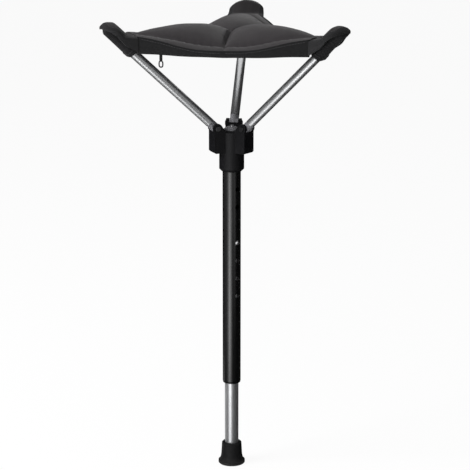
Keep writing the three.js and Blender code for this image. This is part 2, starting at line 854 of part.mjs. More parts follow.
// The corner patch joins a pad's two halves and rides up over the pocket on the arm's tip. Skirts
// hang from both its sides. They carry on the wide ends of the binding and thin out at the tip.
function cornerPatch() {
  const start = pad_end_reach + seam_gap * Math.cos(sector / 2) + seat_gap;
  const start_half = pad_end_reach * Math.tan(pad_end_angle) + binding_width + seat_gap;
  const pocket_half = tip_cap_radius + pocket_tip_gap + pocket_cloth;
  const lift = pocket_half + seat_gap + patch_thickness / 2;
  const [ridge_out, ridge_up] = alongArm(arm_open_angle, 0, lift);
  const [, crest] = alongArm(arm_open_angle, arm_length, lift);
  const slope = 1 / Math.tan(arm_open_angle);
  const middle = (across, aside) => {
    const seat = seatHeight(Math.hypot(across, aside), Math.atan2(Math.abs(aside), across));
    const climb = ridge_up + (across - ridge_out) * slope + patch_blend;
    const ridge = softMin(climb, crest + patch_blend, patch_blend);
    const beyond_tip = Math.max(0, across - tip_radius);
    const bow = aside ** 2 / (2 * patch_ridge_radius) + beyond_tip ** 2 / (2 * patch_nose_radius);
    return softMax(ridge - bow, seat, patch_blend);
  };
  const rings = [];
  for (let row = 0; row <= patch_rows; row += 1) {
    const share = Math.sin((row / patch_rows) * (Math.PI / 2));
    const across = start + (patch_reach - start) * share;
    const into_nose = Math.max(0, (share - patch_nose_share) / (1 - patch_nose_share));
    const nose = patch_nose_end_share + (1 - patch_nose_end_share) * Math.sqrt(1 - into_nose ** 2);
    const half_width = (start_half + (patch_tip_half_width - start_half) * share) * nose;
    const inner_half = half_width - patch_wall;
    const skirt = patch_skirt_depth * (1 - share) ** patch_skirt_power;
    const hem = middle(across, half_width) - patch_thickness / 2 - skirt;
    const hemPoint = (aside) => new THREE.Vector3(across, aside, hem);
    const top = [];
    const bottom = [];
    for (let column = 0; column <= patch_columns; column += 1) {
      const spread = (2 * column) / patch_columns - 1;
      const aside = half_width * spread;
      const under = inner_half * spread;
      top.push(new THREE.Vector3(across, aside, middle(across, aside) + patch_thickness / 2));
      bottom.push(new THREE.Vector3(across, under, middle(across, under) - patch_thickness / 2));
    }
    const outside = [hemPoint(-half_width), ...top, hemPoint(half_width)];
    const inside = [hemPoint(-inner_half), ...bottom, hemPoint(inner_half)];
    rings.push([...outside, ...inside.reverse()]);
  }
  return loft(rings);
}

function mirrored(geometry) {
  return tidy(geometry.clone().scale(1, -1, 1));
}

for (const [side, azimuth] of Object.entries(arm_azimuths)) {
  const pad = halfPad();
  const binding = halfBinding();
  add(`seat_pad_${side}_clockwise`, mirrored(pad).rotateZ(azimuth), 'cloth');
  add(`seat_pad_${side}_anticlockwise`, pad.rotateZ(azimuth), 'cloth');
  add(`edge_binding_${side}_clockwise`, mirrored(binding).rotateZ(azimuth), 'tape');
  add(`edge_binding_${side}_anticlockwise`, binding.rotateZ(azimuth), 'tape');
  add(`corner_patch_${side}`, cornerPatch().rotateZ(azimuth), 'tape');
}

// Zip, under the front half of the left pad, with its slider and pull
function underPad(angle, inset, drop) {
  const radius = edgeRadius(angle) - inset / Math.cos(sector - angle);
  return inSector(radius, angle, padBottom(radius, angle) - drop);
}

function zipTape() {
  const rings = [];
  const inner = zip_inset + zip_tape_width / 2;
  const outer = zip_inset - zip_tape_width / 2;
  for (let step = 0; step <= zip_steps; step += 1) {
    const angle = zip_start_angle + ((zip_end_angle - zip_start_angle) * step) / zip_steps;
    const bottom_drop = zip_gap + zip_tape_thickness;
    rings.push([
      underPad(angle, inner, zip_gap),
      underPad(angle, outer, zip_gap),
      underPad(angle, outer, bottom_drop),
      underPad(angle, inner, bottom_drop),
    ]);
  }
  return loft(rings);
}

const slider_drop = 2 * zip_gap + zip_tape_thickness;
const slider_place = underPad(slider_angle, zip_inset, slider_drop);
const zip_way = underPad(zip_end_angle, zip_inset, slider_drop).sub(slider_place);
const zip_heading = Math.atan2(zip_way.y, zip_way.x);
const zip_slope = Math.atan2(zip_way.z, Math.hypot(zip_way.x, zip_way.y));

// The slider is a wedge-nosed block with a wire bail below it. Its length runs along X here.
function zipSlider() {
  const half_width = slider_width / 2;
  const nose = half_width * slider_nose_share;
  const shape = new THREE.Shape();
  shape.moveTo(-slider_length / 2, -nose);
  shape.lineTo(0, -half_width);
  shape.lineTo(slider_length / 2, -half_width);
  shape.lineTo(slider_length / 2, half_width);
  shape.lineTo(0, half_width);
  shape.lineTo(-slider_length / 2, nose);
  const body = new THREE.ExtrudeGeometry(shape, { depth: slider_height, bevelEnabled: false });
  body.translate(0, 0, -slider_height).rotateY(-zip_slope);
  const arch = [];
  for (let step = 0; step <= bail_steps; step += 1) {
    const turn = (step / bail_steps) * Math.PI;
    const drop = slider_height - bail_wire + (bail_reach + bail_wire) * Math.sin(turn);
    arch.push(new THREE.Vector3((bail_span / 2) * Math.cos(turn), 0, -drop));
  }
  const bail = new THREE.ExtrudeGeometry(wireSection(bail_wire), {
    steps: bail_steps,
    extrudePath: new THREE.CatmullRomCurve3(arch),
    bevelEnabled: false,
  });
  return carve([body, bail], []);
}

function wireSection(radius) {
  const shape = new THREE.Shape();
  shape.absarc(0, 0, radius, 0, 2 * Math.PI);
  return new THREE.Shape(shape.getPoints(wire_facets).slice(0, -1));
}

// A closed wire ring, upright and centred, that crosses the zip
function wireRing(width, length) {
  const half_width = width / 2 - pull_wire;
  const half_length = length / 2 - pull_wire - half_width;
  const rings = [];
  for (const end of [1, -1]) {
    for (let step = 0; step <= pull_bend_steps; step += 1) {
      const turn = (step / pull_bend_steps - end / 2) * Math.PI;
      const outward = new THREE.Vector3(0, Math.sin(turn), Math.cos(turn));
      const centre = outward.clone().multiplyScalar(half_width);
      centre.z += end * half_length;
      const ring = [];
      for (let facet = 0; facet < wire_facets; facet += 1) {
        const angle = (facet / wire_facets) * 2 * Math.PI;
        const point = centre.clone().addScaledVector(outward, pull_wire * Math.cos(angle));
        ring.push(point.add(new THREE.Vector3(pull_wire * Math.sin(angle), 0, 0)));
      }
      rings.push(ring);
    }
  }
  return closedLoft(rings);
}

// The pull's eye hangs through the bail, and the loop below its flat tab faces the front
function zipPull() {
  const eye = wireRing(pull_eye_width, pull_eye_length).translate(0, 0, -pull_eye_length / 2);
  const tab_length = pull_length - pull_eye_length - pull_loop_length + 2 * pull_wire;
  const tab = new THREE.BoxGeometry(pull_tab_width, 2 * pull_wire, tab_length);
  tab.translate(0, 0, pull_wire - pull_eye_length - tab_length / 2);
  const loop = wireRing(pull_loop_width, pull_loop_length).rotateZ(Math.PI / 2);
  return carve([eye, tab, loop.translate(0, 0, pull_loop_length / 2 - pull_length)], []);
}

function closedLoft(rings) {
  const count = rings[0].length;
  const index = [];
  for (let ring = 0; ring < rings.length; ring += 1) {
    const near = ring * count;
    const far = ((ring + 1) % rings.length) * count;
    for (let side = 0; side < count; side += 1) {
      const next = (side + 1) % count;
      index.push(near + side, near + next, far + next, near + side, far + next, far + side);
    }
  }
  const geometry = new THREE.BufferGeometry();
  const positions = rings.flat().flatMap((point) => [point.x, point.y, point.z]);
  geometry.setAttribute('position', new THREE.Float32BufferAttribute(positions, 3));
  geometry.setIndex(index);
  return tidy(geometry);
}

const pull_top = -slider_height - bail_reach + bail_wire + pull_gap + 2 * pull_wire;

function placedOnZip(geometry) {
  return geometry.rotateZ(zip_heading).translate(...slider_place.toArray()).rotateZ(arm_azimuths.left);
}

add('zip_tape', zipTape().rotateZ(arm_azimuths.left), 'tape');
add('zip_slider', placedOnZip(zipSlider()), 'nylon');
add('zip_pull', placedOnZip(zipPull().translate(0, 0, pull_top)), 'steel');

export default stool;
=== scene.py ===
# %% [markdown]
# A one-legged folding stool: a telescopic tube leg, a black hub with three hinged arms, and a
# padded three-cornered seat whose corners are pockets over the arms' tips. The metal and moulded
# pieces are already solid models, so this lesson gives them finishes. The cloth is made here,
# because cloth needs crowned panels, seams and stitches that a plain solid doesn't have.

# %% Load the solid model
import math

import bpy
import numpy as np
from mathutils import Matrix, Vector


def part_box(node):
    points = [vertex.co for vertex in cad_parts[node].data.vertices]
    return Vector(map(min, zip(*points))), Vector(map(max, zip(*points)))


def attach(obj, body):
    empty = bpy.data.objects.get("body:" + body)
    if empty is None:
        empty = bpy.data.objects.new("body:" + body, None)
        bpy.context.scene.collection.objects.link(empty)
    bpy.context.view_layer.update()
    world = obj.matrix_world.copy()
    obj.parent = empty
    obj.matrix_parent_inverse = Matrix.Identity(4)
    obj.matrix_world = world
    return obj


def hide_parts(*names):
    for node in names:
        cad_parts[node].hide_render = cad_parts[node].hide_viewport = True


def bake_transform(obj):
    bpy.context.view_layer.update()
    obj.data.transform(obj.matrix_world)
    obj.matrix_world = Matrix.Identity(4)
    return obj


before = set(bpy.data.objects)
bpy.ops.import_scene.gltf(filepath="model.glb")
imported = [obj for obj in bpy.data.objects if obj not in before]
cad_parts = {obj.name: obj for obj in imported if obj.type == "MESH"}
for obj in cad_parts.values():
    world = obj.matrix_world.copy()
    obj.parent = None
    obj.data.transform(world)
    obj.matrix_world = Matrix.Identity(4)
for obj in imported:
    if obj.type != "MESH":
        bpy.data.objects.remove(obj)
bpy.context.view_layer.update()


def into_scene(name, data):
    made = bpy.data.objects.new(name, data)
    bpy.context.scene.collection.objects.link(made)
    return made



# %% [markdown]
# Cloth follows the frame, so the frame's own sizes come first. They are in millimetres, as a
# sewing pattern would be, and every mesh is divided by 1000 when it is made.

# %% Sizes of the frame and the seat, in millimetres
MM = 0.001
SIDES = {"back": math.radians(90), "left": math.radians(210), "right": math.radians(330)}
TURNS = {"anticlockwise": 1, "clockwise": -1}
PIVOT_OUT, PIVOT_UP = 24.0, 481.0
ARM_LENGTH, ARM_LEAN = 204.0, math.radians(47)
TIP_OUT = PIVOT_OUT + ARM_LENGTH * math.sin(ARM_LEAN)
TIP_UP = PIVOT_UP + ARM_LENGTH * math.cos(ARM_LEAN)
SECTOR = math.radians(60)
CENTRE_UP = TIP_UP - 11.1
EDGE_OUT, CORNER_OUT = 90.0, TIP_OUT + 2.8
CORNER_RISE, EDGE_DROP = 8.0, 15.5
CORNER_POWER, EDGE_POWER, DROOP_POWER = 5.0, 1.6, 4.0
OUTLINE_POWER = math.log(CORNER_OUT / EDGE_OUT) / math.log(2)
PAD_END = TIP_OUT - 32.2
print("arm tip at radius", round(TIP_OUT, 1), "height", round(TIP_UP, 1))

# %% [markdown]
# The camera comes next, because every later choice is judged through it. The stool was seen from
# the front, a little to the right of its back arm and from slightly above the seat. A long lens
# keeps the upright leg upright.

# %% Camera
FRAME_PIXELS = 470
CAMERA_AWAY, CAMERA_UP = 2.4, 0.9454
CAMERA_AZIMUTH = math.radians(277.3)
CAMERA_PITCH = math.radians(13.92)
FOCAL_PIXELS = 1814.0
SHIFT_RIGHT_PIXELS, SHIFT_DOWN_PIXELS = -3.3, -14.7
camera = into_scene("camera", bpy.data.cameras.new("camera"))
camera.data.sensor_width = 36.0
camera.data.lens = FOCAL_PIXELS / FRAME_PIXELS * camera.data.sensor_width
camera.data.shift_x = -SHIFT_RIGHT_PIXELS / FRAME_PIXELS
camera.data.shift_y = SHIFT_DOWN_PIXELS / FRAME_PIXELS
camera.location = (
    CAMERA_AWAY * math.cos(CAMERA_AZIMUTH), CAMERA_AWAY * math.sin(CAMERA_AZIMUTH), CAMERA_UP)
camera.rotation_euler = (math.pi / 2 - CAMERA_PITCH, 0, CAMERA_AZIMUTH + math.pi / 2)
bpy.context.scene.camera = camera
bpy.context.scene.view_settings.view_transform = "Standard"
print("lens", round(camera.data.lens, 1), "mm")

# %% [markdown]
# Shader nodes are easier to read as sums. A Signal wraps one node's output, so that writing
# 1 - mask or height * 0.2 adds the Math node it needs. Colours and vectors go through Vector Math,
# because a Math node would turn them grey. A Finish is one material and makes every other node.


# %% Sums of shader signals
class Signal:
    def __init__(self, finish, socket):
        self.finish = finish
        self.socket = socket

    def sum_node(self, operation, first, second):
        wide = False
        for part in (first, second):
            if isinstance(part, Signal) and part.socket.type in ("VECTOR", "RGBA"):
                wide = True
        make = self.finish.vector if wide else self.finish.number
        return make(operation, first, second)

    def __add__(self, other):
        return self.sum_node("ADD", self, other)

    def __radd__(self, other):
        return self.sum_node("ADD", other, self)

    def __sub__(self, other):
        return self.sum_node("SUBTRACT", self, other)

    def __rsub__(self, other):
        return self.sum_node("SUBTRACT", other, self)

    def __mul__(self, other):
        return self.sum_node("MULTIPLY", self, other)

    def __rmul__(self, other):
        return self.sum_node("MULTIPLY", other, self)

    def __truediv__(self, other):
        return self.sum_node("DIVIDE", self, other)

    def __pow__(self, other):
        return self.sum_node("POWER", self, other)


class Finish:
    def __init__(self, name, owner=None):
        self.material = owner or bpy.data.materials.new(name)
        self.material.use_nodes = True
        self.tree = self.material.node_tree
        self.tree.nodes.clear()
        output = "ShaderNodeOutputWorld" if owner else "ShaderNodeOutputMaterial"
        self.output = self.tree.nodes.new(output)

    def feed(self, socket, value):
        if isinstance(value, Signal):
            self.tree.links.new(value.socket, socket)
        elif socket.type in ("VECTOR", "RGBA") and not hasattr(value, "__len__"):
            socket.default_value = [value] * len(socket.default_value)
        elif socket.type == "RGBA" and len(value) == 3:
            socket.default_value = (*value, 1.0)
        else:
            socket.default_value = value

    def node(self, kind, settings, *values, out=0, **named):
        made = self.tree.nodes.new(kind)
        for key, value in settings.items():
            if key == "stops":
                ramp = made.color_ramp
                while len(ramp.elements) < len(value):
                    ramp.elements.new(0.5)
                for stop, (place, tone) in zip(ramp.elements, value):
                    stop.position = place
                    stop.color = (tone, tone, tone, 1)
            else:
                setattr(made, key, value)
        for socket, value in zip(made.inputs, values):
            self.feed(socket, value)
        for key, value in named.items():
            self.feed(made.inputs[key.replace("_", " ")], value)
        return Signal(self, made.outputs[out])

    def number(self, operation, *values):
        return self.node("ShaderNodeMath", {"operation": operation}, *values)

    def vector(self, operation, *values, out=0, **named):
        return self.node("ShaderNodeVectorMath", {"operation": operation}, *values, out=out, **named)

    def mix(self, share, first, second):
        made = self.tree.nodes.new("ShaderNodeMix")
        made.data_type = "RGBA"
        colour_inputs = [socket for socket in made.inputs if socket.type == "RGBA"]
        self.feed(made.inputs[0], share)
        self.feed(colour_inputs[0], first)
        self.feed(colour_inputs[1], second)
        return Signal(self, [s for s in made.outputs if s.type == "RGBA"][0])

    def noise(self, place, scale, detail=3.0, roughness=0.55):
        return self.node("ShaderNodeTexNoise", {}, Vector=place, Scale=scale, Detail=detail,
                         Roughness=roughness, out="Fac")

    def range(self, value, low, high, to_low=0.0, to_high=1.0):
        return self.node("ShaderNodeMapRange", {"clamp": True}, value, low, high, to_low, to_high)

    def bump(self, height, distance, strength=1.0, normal=None):
        named = {"Height": height, "Distance": distance, "Strength": strength}
        if normal is not None:
            named["Normal"] = normal
        return self.node("ShaderNodeBump", {}, **named)

    def show(self, shader):
        self.tree.links.new(shader.socket, self.output.inputs["Surface"])
        return self.material

    def surface(self, **named):
        return self.show(self.node("ShaderNodeBsdfPrincipled", {}, **named))


print("shader helpers ready")

# %% [markdown]
# The studio is plain: white all round for the camera and for shiny things, a soft even light for
# the rest, a big lamp high on the left and a weaker one on the right. Photographers stand black
# and white cards beside polished metal, so that a tube shows a bright band and dark edges. Those
# cards are here too: only mirror-like rays see them, and they light nothing.


# %% World and floor
def ray_kinds(finish):
    path = finish.node("ShaderNodeLightPath", {})
    kinds = [Signal(finish, path.socket.node.outputs[name])
             for name in ("Is Camera Ray", "Is Glossy Ray", "Is Transmission Ray")]
    both = finish.number("MAXIMUM", kinds[0], kinds[1])
    return finish.number("MAXIMUM", both, kinds[2])


AMBIENT, WHITE_SEEN = 0.3, 0.97
sky = Finish("studio", bpy.data.worlds.new("studio"))
sky_soft = sky.node("ShaderNodeBackground", {}, Color=(1, 1, 1), Strength=AMBIENT)
sky_white = sky.node("ShaderNodeBackground", {}, Color=(1, 1, 1), Strength=WHITE_SEEN)
sky_mix = sky.node("ShaderNodeMixShader", {}, ray_kinds(sky), sky_soft, sky_white)
bpy.context.scene.world = sky.show(sky_mix)

FLOOR_REACH = 30.0
FLOOR_SHADOW_SHARE = 0.07
floor_finish = Finish("studio_floor")
floor_pale = floor_finish.node("ShaderNodeBsdfDiffuse", {}, Color=(0.86, 0.86, 0.86))
floor_white = floor_finish.node("ShaderNodeEmission", {}, Color=(1, 1, 1), Strength=1.0)
floor_share = ray_kinds(floor_finish) * (1 - FLOOR_SHADOW_SHARE)
floor_mix = floor_finish.node("ShaderNodeMixShader", {}, floor_share, floor_pale, floor_white)
floor_mesh = bpy.data.meshes.new("floor")
floor_corners = [(-1, -1), (1, -1), (1, 1), (-1, 1)]
floor_mesh.from_pydata([(x * FLOOR_REACH, y * FLOOR_REACH, 0) for x, y in floor_corners], [], [(0, 1, 2, 3)])
floor_mesh.materials.append(floor_finish.show(floor_mix))
into_scene("floor", floor_mesh)
print("floor and world made")


# %% Lamps
LAMPS_AIM_UP = 0.45


def lamp(name, azimuth, away, up, size, power, mirrored=True):
    data = bpy.data.lights.new(name, "AREA")
    data.shape = "SQUARE"
    data.size = size
    data.energy = power
    made = into_scene(name, data)
    turn = math.radians(azimuth)
    made.location = (away * math.cos(turn), away * math.sin(turn), up)
    aim = Vector((0, 0, LAMPS_AIM_UP)) - made.location
    made.rotation_euler = aim.to_track_quat("-Z", "Y").to_euler()
    made.visible_camera = False
    made.visible_glossy = mirrored


lamp("key_lamp", azimuth=243, away=2.1, up=1.3, size=1.3, power=4)
lamp("fill_lamp", azimuth=318, away=2.3, up=1.2, size=1.6, power=2)
lamp("top_lamp", azimuth=208, away=2.0, up=1.9, size=1.2, power=84, mirrored=False)


# %% Cards that only mirror-like rays see
def card(name, corners, brightness):
    finish = Finish(name)
    glow = finish.node("ShaderNodeEmission", {}, Color=(1, 1, 1), Strength=brightness)
    mesh = bpy.data.meshes.new(name)
    count = len(corners) // 2
    faces = [(k, k + 1, count + k + 1, count + k) for k in range(count - 1)]
    mesh.from_pydata(corners, [], faces)
    mesh.materials.append(finish.show(glow))
    made = into_scene(name, mesh)
    for kind in ("camera", "diffuse", "transmission", "volume_scatter", "shadow"):
        setattr(made, "visible_" + kind, False)


def arc(radius, start, end, up, steps=24):
    turns = np.radians(np.linspace(start, end, steps))
    return [(radius * math.cos(t), radius * math.sin(t), up) for t in turns]


def floor_card(name, inner, outer, start, end, up, brightness):
    card(name, arc(inner, start, end, up) + arc(outer, start, end, up), brightness)


def wall_card(name, radius, start, end, low, high, brightness):
    card(name, arc(radius, start, end, low) + arc(radius, start, end, high), brightness)


DARK = 0.03
CARD_LIFT = 0.0008
NEAR_SHARE = 0.38
NEAR, MIDDLE, ASIDE, BEYOND, FAR, WALL_TOP = 0.021, 0.45, 1.05, 1.75, 2.6, 3.4
GREY, WALL_END = 0.2, 219
# Each step is an azimuth range and a brightness: grey on the left, brightest left of the camera
STRIP = [(170, 205, 0.3), (205, 219, 0.42), (219, 232, 1.0), (232, 244, 3.2), (244, 258, 7.2),
         (258, 272, 3.4), (272, 283, 1.1)]
for start, end, brightness in STRIP:
    shown = f"strip_{start}"
    floor_card(shown + "_card_near", NEAR, MIDDLE, start, end, CARD_LIFT, brightness * NEAR_SHARE)
    floor_card(shown + "_card_far", MIDDLE, FAR, start, end, CARD_LIFT, brightness)
    if end <= WALL_END:
        wall_card(shown + "_wall", FAR, start, end, 0.0, WALL_TOP, brightness)
# To the right of the strip: reach from the leg, azimuth range and brightness
SHADES = {
    "dark_card_near": (NEAR, MIDDLE, 283, 505, DARK),
    "dark_card_aside": (MIDDLE, ASIDE, 283, 326, DARK),
    "grey_card_aside": (ASIDE, FAR, 283, 299, GREY),
    "grey_card_beyond": (BEYOND, FAR, 299, 326, GREY),
    "dark_card_far": (MIDDLE, FAR, 326, 530, DARK),
}
for name, (inner, outer, start, end, brightness) in SHADES.items():
    floor_card(name, inner, outer, start, end, CARD_LIFT, brightness)
wall_card("dark_wall", FAR, 326, 530, 0.0, WALL_TOP, DARK)
# A small card under the seat lights the back arm, which would only mirror the dark cloth above it
UNDER_SEAT, CARD_LEFT, CARD_RIGHT, CARD_FRONT, CARD_BACK = 0.585, -0.034, 0.026, 0.045, 0.14
card("under_seat_card", [(CARD_LEFT, CARD_FRONT, UNDER_SEAT), (CARD_LEFT, CARD_BACK, UNDER_SEAT),
                         (CARD_RIGHT, CARD_FRONT, UNDER_SEAT), (CARD_RIGHT, CARD_BACK, UNDER_SEAT)], 1.9)

# %% [markdown]
# Metal, moulded and rubber finishes come now. The solid model's tubes are many-sided, so each
# finish of a turned piece first rounds its light: the part of the normal that points away from
# the axis is taken from the place itself, and the part along the axis is kept.


# %% Round light on many-sided tubes
ROUNDED_SHARE = 0.93
EVERYWHERE = 10.0


def object_place(finish):
    return finish.node("ShaderNodeTexCoord", {}, out="Object")


def stretched_place(finish, origin, axis, keep_share):
    """Splits a place into its height along an axis and its offset from it."""
    place = object_place(finish) - tuple(origin)
    along = finish.vector("DOT_PRODUCT", place, tuple(axis), out="Value")
    axis_part = finish.vector("SCALE", tuple(axis), Scale=along)
    away = place - axis_part
    drawn_out = away + axis_part * keep_share
    return away, drawn_out


def turned_normal(finish, origin, axis, reach=EVERYWHERE):
    def turn(value, start, end):
        settings = {"vector_type": "NORMAL", "convert_from": start, "convert_to": end}
        return finish.node("ShaderNodeVectorTransform", settings, value)

    axis = tuple(axis)
    vector, number = finish.vector, finish.number
    true_normal = finish.node("ShaderNodeNewGeometry", {}, out="True Normal")
    flat = turn(true_normal, "WORLD", "OBJECT")
    away, _ = stretched_place(finish, origin, axis, 1.0)
    distance = vector("LENGTH", away, out="Value")
    outward = vector("NORMALIZE", away)
    facing = vector("DOT_PRODUCT", flat, outward, out="Value")
    tilt = vector("DOT_PRODUCT", flat, axis, out="Value")
    flank = number("SQRT", number("MAXIMUM", 1.0 - tilt * tilt, 0.0))
    is_turned = number("GREATER_THAN", number("ABSOLUTE", facing), flank * ROUNDED_SHARE)
    is_near = number("LESS_THAN", distance, reach)
    rounded = vector("SCALE", outward, Scale=number("SIGN", facing) * flank)
    rounded = rounded + vector("SCALE", axis, Scale=tilt)
    share = is_turned * is_near
    chosen = flat + vector("SCALE", rounded - flat, Scale=share)
    return turn(chosen, "OBJECT", "WORLD")


UP = (0.0, 0.0, 1.0)
LEG_FOOT = (0.0, 0.0, 0.0)


def arm_axis(azimuth):
    lean = math.sin(ARM_LEAN)
    return (lean * math.cos(azimuth), lean * math.sin(azimuth), math.cos(ARM_LEAN))


def pivot_place(azimuth):
    out = PIVOT_OUT * MM
    return (out * math.cos(azimuth), out * math.sin(azimuth), PIVOT_UP * MM)


print("rounding ready")

# %% [markdown]
# The inner leg and the arms are drawn aluminium tube with a clear anodised skin. Drawing leaves
# hair-fine lines along the tube, so the noise that varies its roughness is stretched along the
# axis. The outer leg is steel tube under a smooth black powder coat with a faint orange peel.


# %% Metal finishes
ALUMINIUM = (0.47, 0.475, 0.485)
SATIN_ALUMINIUM = (0.34, 0.344, 0.35)
STEEL = (0.62, 0.62, 0.63)
BLACKENED_STEEL = (0.05, 0.05, 0.052)


def drawn_aluminium(name, origin, axis, skin=ALUMINIUM, metal=0.9, roughness=0.34):
    finish = Finish(name)
    _, lines = stretched_place(finish, origin, axis, 0.02)
    hair = finish.noise(lines, 2600.0, detail=2.0)
    cloud = finish.noise(object_place(finish), 45.0)
    tone = finish.mix(cloud, skin, tuple(part * 1.08 for part in skin))
    rounded = turned_normal(finish, origin, axis)
    return finish.surface(Base_Color=tone, Metallic=metal, Roughness=roughness + hair * 0.05,
                          Normal=finish.bump(hair, 0.0000015, 0.15, rounded))


def powder_coat(name):
    finish = Finish(name)
    peel = finish.noise(object_place(finish), 900.0, detail=2.0)
    scuff = finish.noise(object_place(finish), 60.0, detail=5.0)
    tone = finish.mix(scuff, (0.0012, 0.0012, 0.0014), (0.002, 0.002, 0.0024))
    rounded = turned_normal(finish, LEG_FOOT, UP)
    return finish.surface(Base_Color=tone, Roughness=0.22 + scuff * 0.08,
                          Normal=finish.bump(peel, 0.00001, 0.3, rounded))


def plated_steel(name, origin, axis, tone=STEEL):
    finish = Finish(name)
    _, lines = stretched_place(finish, origin, axis, 1.0)
    grain = finish.noise(lines, 1500.0)
    rounded = turned_normal(finish, origin, axis)
    return finish.surface(Base_Color=tone, Metallic=1.0, Roughness=0.18 + grain * 0.2,
                          Normal=finish.bump(grain, 0.00002, 0.5, rounded))


# %% Moulded finishes
def moulded_nylon(name, tone, origin, axis, reach=EVERYWHERE, roughness=0.42):
    finish = Finish(name)
    place = object_place(finish)
    grain = finish.noise(place, 1700.0, detail=2.0)
    flow = finish.noise(place, 70.0)
    lighter = tuple(part * 1.5 + 0.002 for part in tone)
    rounded = turned_normal(finish, origin, axis, reach)
    return finish.surface(Base_Color=finish.mix(flow, tone, lighter), Roughness=roughness + flow * 0.16,
                          Specular_IOR_Level=0.12, Normal=finish.bump(grain, 0.00004, 0.5, rounded))


def moulded_rubber(name):
    finish = Finish(name)
    place = object_place(finish)
    grain = finish.noise(place, 1400.0, detail=3.0)
    dust = finish.noise(place, 160.0, detail=5.0, roughness=0.7)
    height = finish.node("ShaderNodeSeparateXYZ", {}, place, out="Z")
    low = finish.range(height, 0.0, 0.012, 1.0, 0.0)
    tone = finish.mix(low * dust * 0.4, (0.005, 0.005, 0.0054), (0.04, 0.038, 0.036))
    rounded = turned_normal(finish, LEG_FOOT, UP)
    return finish.surface(Base_Color=tone, Roughness=0.55 + dust * 0.2, Specular_IOR_Level=0.2,
                          Normal=finish.bump(grain, 0.00008, 0.7, rounded))


BLACK_NYLON = (0.003, 0.003, 0.0036)
GREY_NYLON = (0.16, 0.16, 0.17)
COLLAR_REACH = 0.01715
print("rigid finishes ready")


# %% Dress the solid pieces
def dress(node, material):
    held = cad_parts[node]
    held.data.materials.clear()
    held.data.materials.append(material)


BUTTON_TURN = math.radians(-44)
button_low, button_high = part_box("lock_button")
BUTTON_UP = (button_low[2] + button_high[2]) / 2
BUTTON_AXIS = (math.cos(BUTTON_TURN), math.sin(BUTTON_TURN), 0.0)
BUTTON_PLACE = (0.0, 0.0, BUTTON_UP)
dress("rubber_foot", moulded_rubber("foot_rubber"))
dress("inner_tube", drawn_aluminium("inner_leg_aluminium", LEG_FOOT, UP))
dress("outer_tube", powder_coat("outer_leg_coat"))
dress("hub", moulded_nylon("hub_nylon", BLACK_NYLON, LEG_FOOT, UP, COLLAR_REACH))
dress("hub_top_cap", moulded_nylon("cap_nylon", GREY_NYLON, LEG_FOOT, UP))
dress("lock_button", plated_steel("button_steel", BUTTON_PLACE, BUTTON_AXIS))
leg_nylon = moulded_nylon("bush_nylon", BLACK_NYLON, LEG_FOOT, UP)
screw_steel = plated_steel("screw_steel", LEG_FOOT, UP)
for node in ("guide_bush", "inner_tube_glider"):
    dress(node, leg_nylon)
for node in ("cap_screw", "hub_screw", "button_spring", "foot_washer"):
    dress(node, screw_steel)
for side, azimuth in SIDES.items():
    pivot, along = pivot_place(azimuth), arm_axis(azimuth)
    across = (-math.sin(azimuth), math.cos(azimuth), 0.0)
    dress(f"arm_tube_{side}", drawn_aluminium(f"{side}_arm_aluminium", pivot, along, SATIN_ALUMINIUM,
                                              metal=0.88, roughness=0.36))
    dress(f"arm_tip_cap_{side}", moulded_nylon(f"{side}_tip_nylon", BLACK_NYLON, pivot, along))
    dress(f"arm_knuckle_{side}", moulded_nylon(f"{side}_knuckle_nylon", GREY_NYLON, pivot, along))
    dress(f"pivot_pin_{side}", plated_steel(f"{side}_pin_steel", pivot, across, BLACKENED_STEEL))
dress("zip_slider", moulded_nylon("slider_nylon", BLACK_NYLON, LEG_FOOT, UP, 0.0))
print("dressed", len(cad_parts), "solid pieces, the button at", round(BUTTON_UP, 4), "m")

# %% [markdown]
# The seat's shape is one height over the plan, worked out for one sixth of the seat: from a
# corner's middle line, at angle 0, to the middle of a side, at 60 degrees. The corner's line climbs
# to the arm's tip and the middle of each side sags, as cloth does between three points.


# %% The seat's height
def edge_out(angle):
    return EDGE_OUT / np.cos(SECTOR - angle) ** OUTLINE_POWER


def seat_height(out, angle):
    turned = np.cos(angle * (math.pi / 2 / SECTOR))
    climb = CORNER_RISE * turned ** 2 * (out / CORNER_OUT) ** CORNER_POWER
    sag = EDGE_DROP * (1 - turned ** DROOP_POWER) * (out / edge_out(angle)) ** EDGE_POWER
    return CENTRE_UP + climb - sag


def pad_out(angle):
    return np.minimum(edge_out(angle), PAD_END / np.cos(angle))


def pad_end_angle():
    low, high = 0.0, SECTOR
    for _ in range(40):
        middle = (low + high) / 2
        if edge_out(middle) * math.cos(middle) > PAD_END:
            low = middle
        else:
            high = middle
    return low


PAD_END_ANGLE = pad_end_angle()
print("pad's blunt end spans", round(math.degrees(2 * PAD_END_ANGLE), 1), "degrees")


# %% [markdown]
# Each corner of the seat is one padded kite. Foam makes it swell quickly beside its seams and stay
# nearly level in the middle, so the crown is a product of soft steps, one from each seam. Outside
# the stitch row that runs along the edge lies a flat border. Cloth puckers beside stitches: small
# ripples fade within a few millimetres. A cloth simulation would swell the foam in the same way,
# but it moves seams that have to meet exactly, so the shape is worked out directly.

# %% The padded surface
BORDER = 17.0
CROWN, CROWN_REACH = 11.5, 13.0
BELLY, BELLY_REACH = 4.5, 18.0
# A shallow groove runs along the arm under the pad. It is far too shallow to clear the folded arm
ARM_GROOVE, GROOVE_REACH = 0.6, 8.5
EDGE_HALF = 2.4
SEAM_DIP, SEAM_REACH = 2.4, 3.2
ROW_DIP, ROW_REACH = 1.5, 2.4
PUCKER, PUCKER_REACH, PUCKER_PITCH = 0.42, 6.0, 10.5
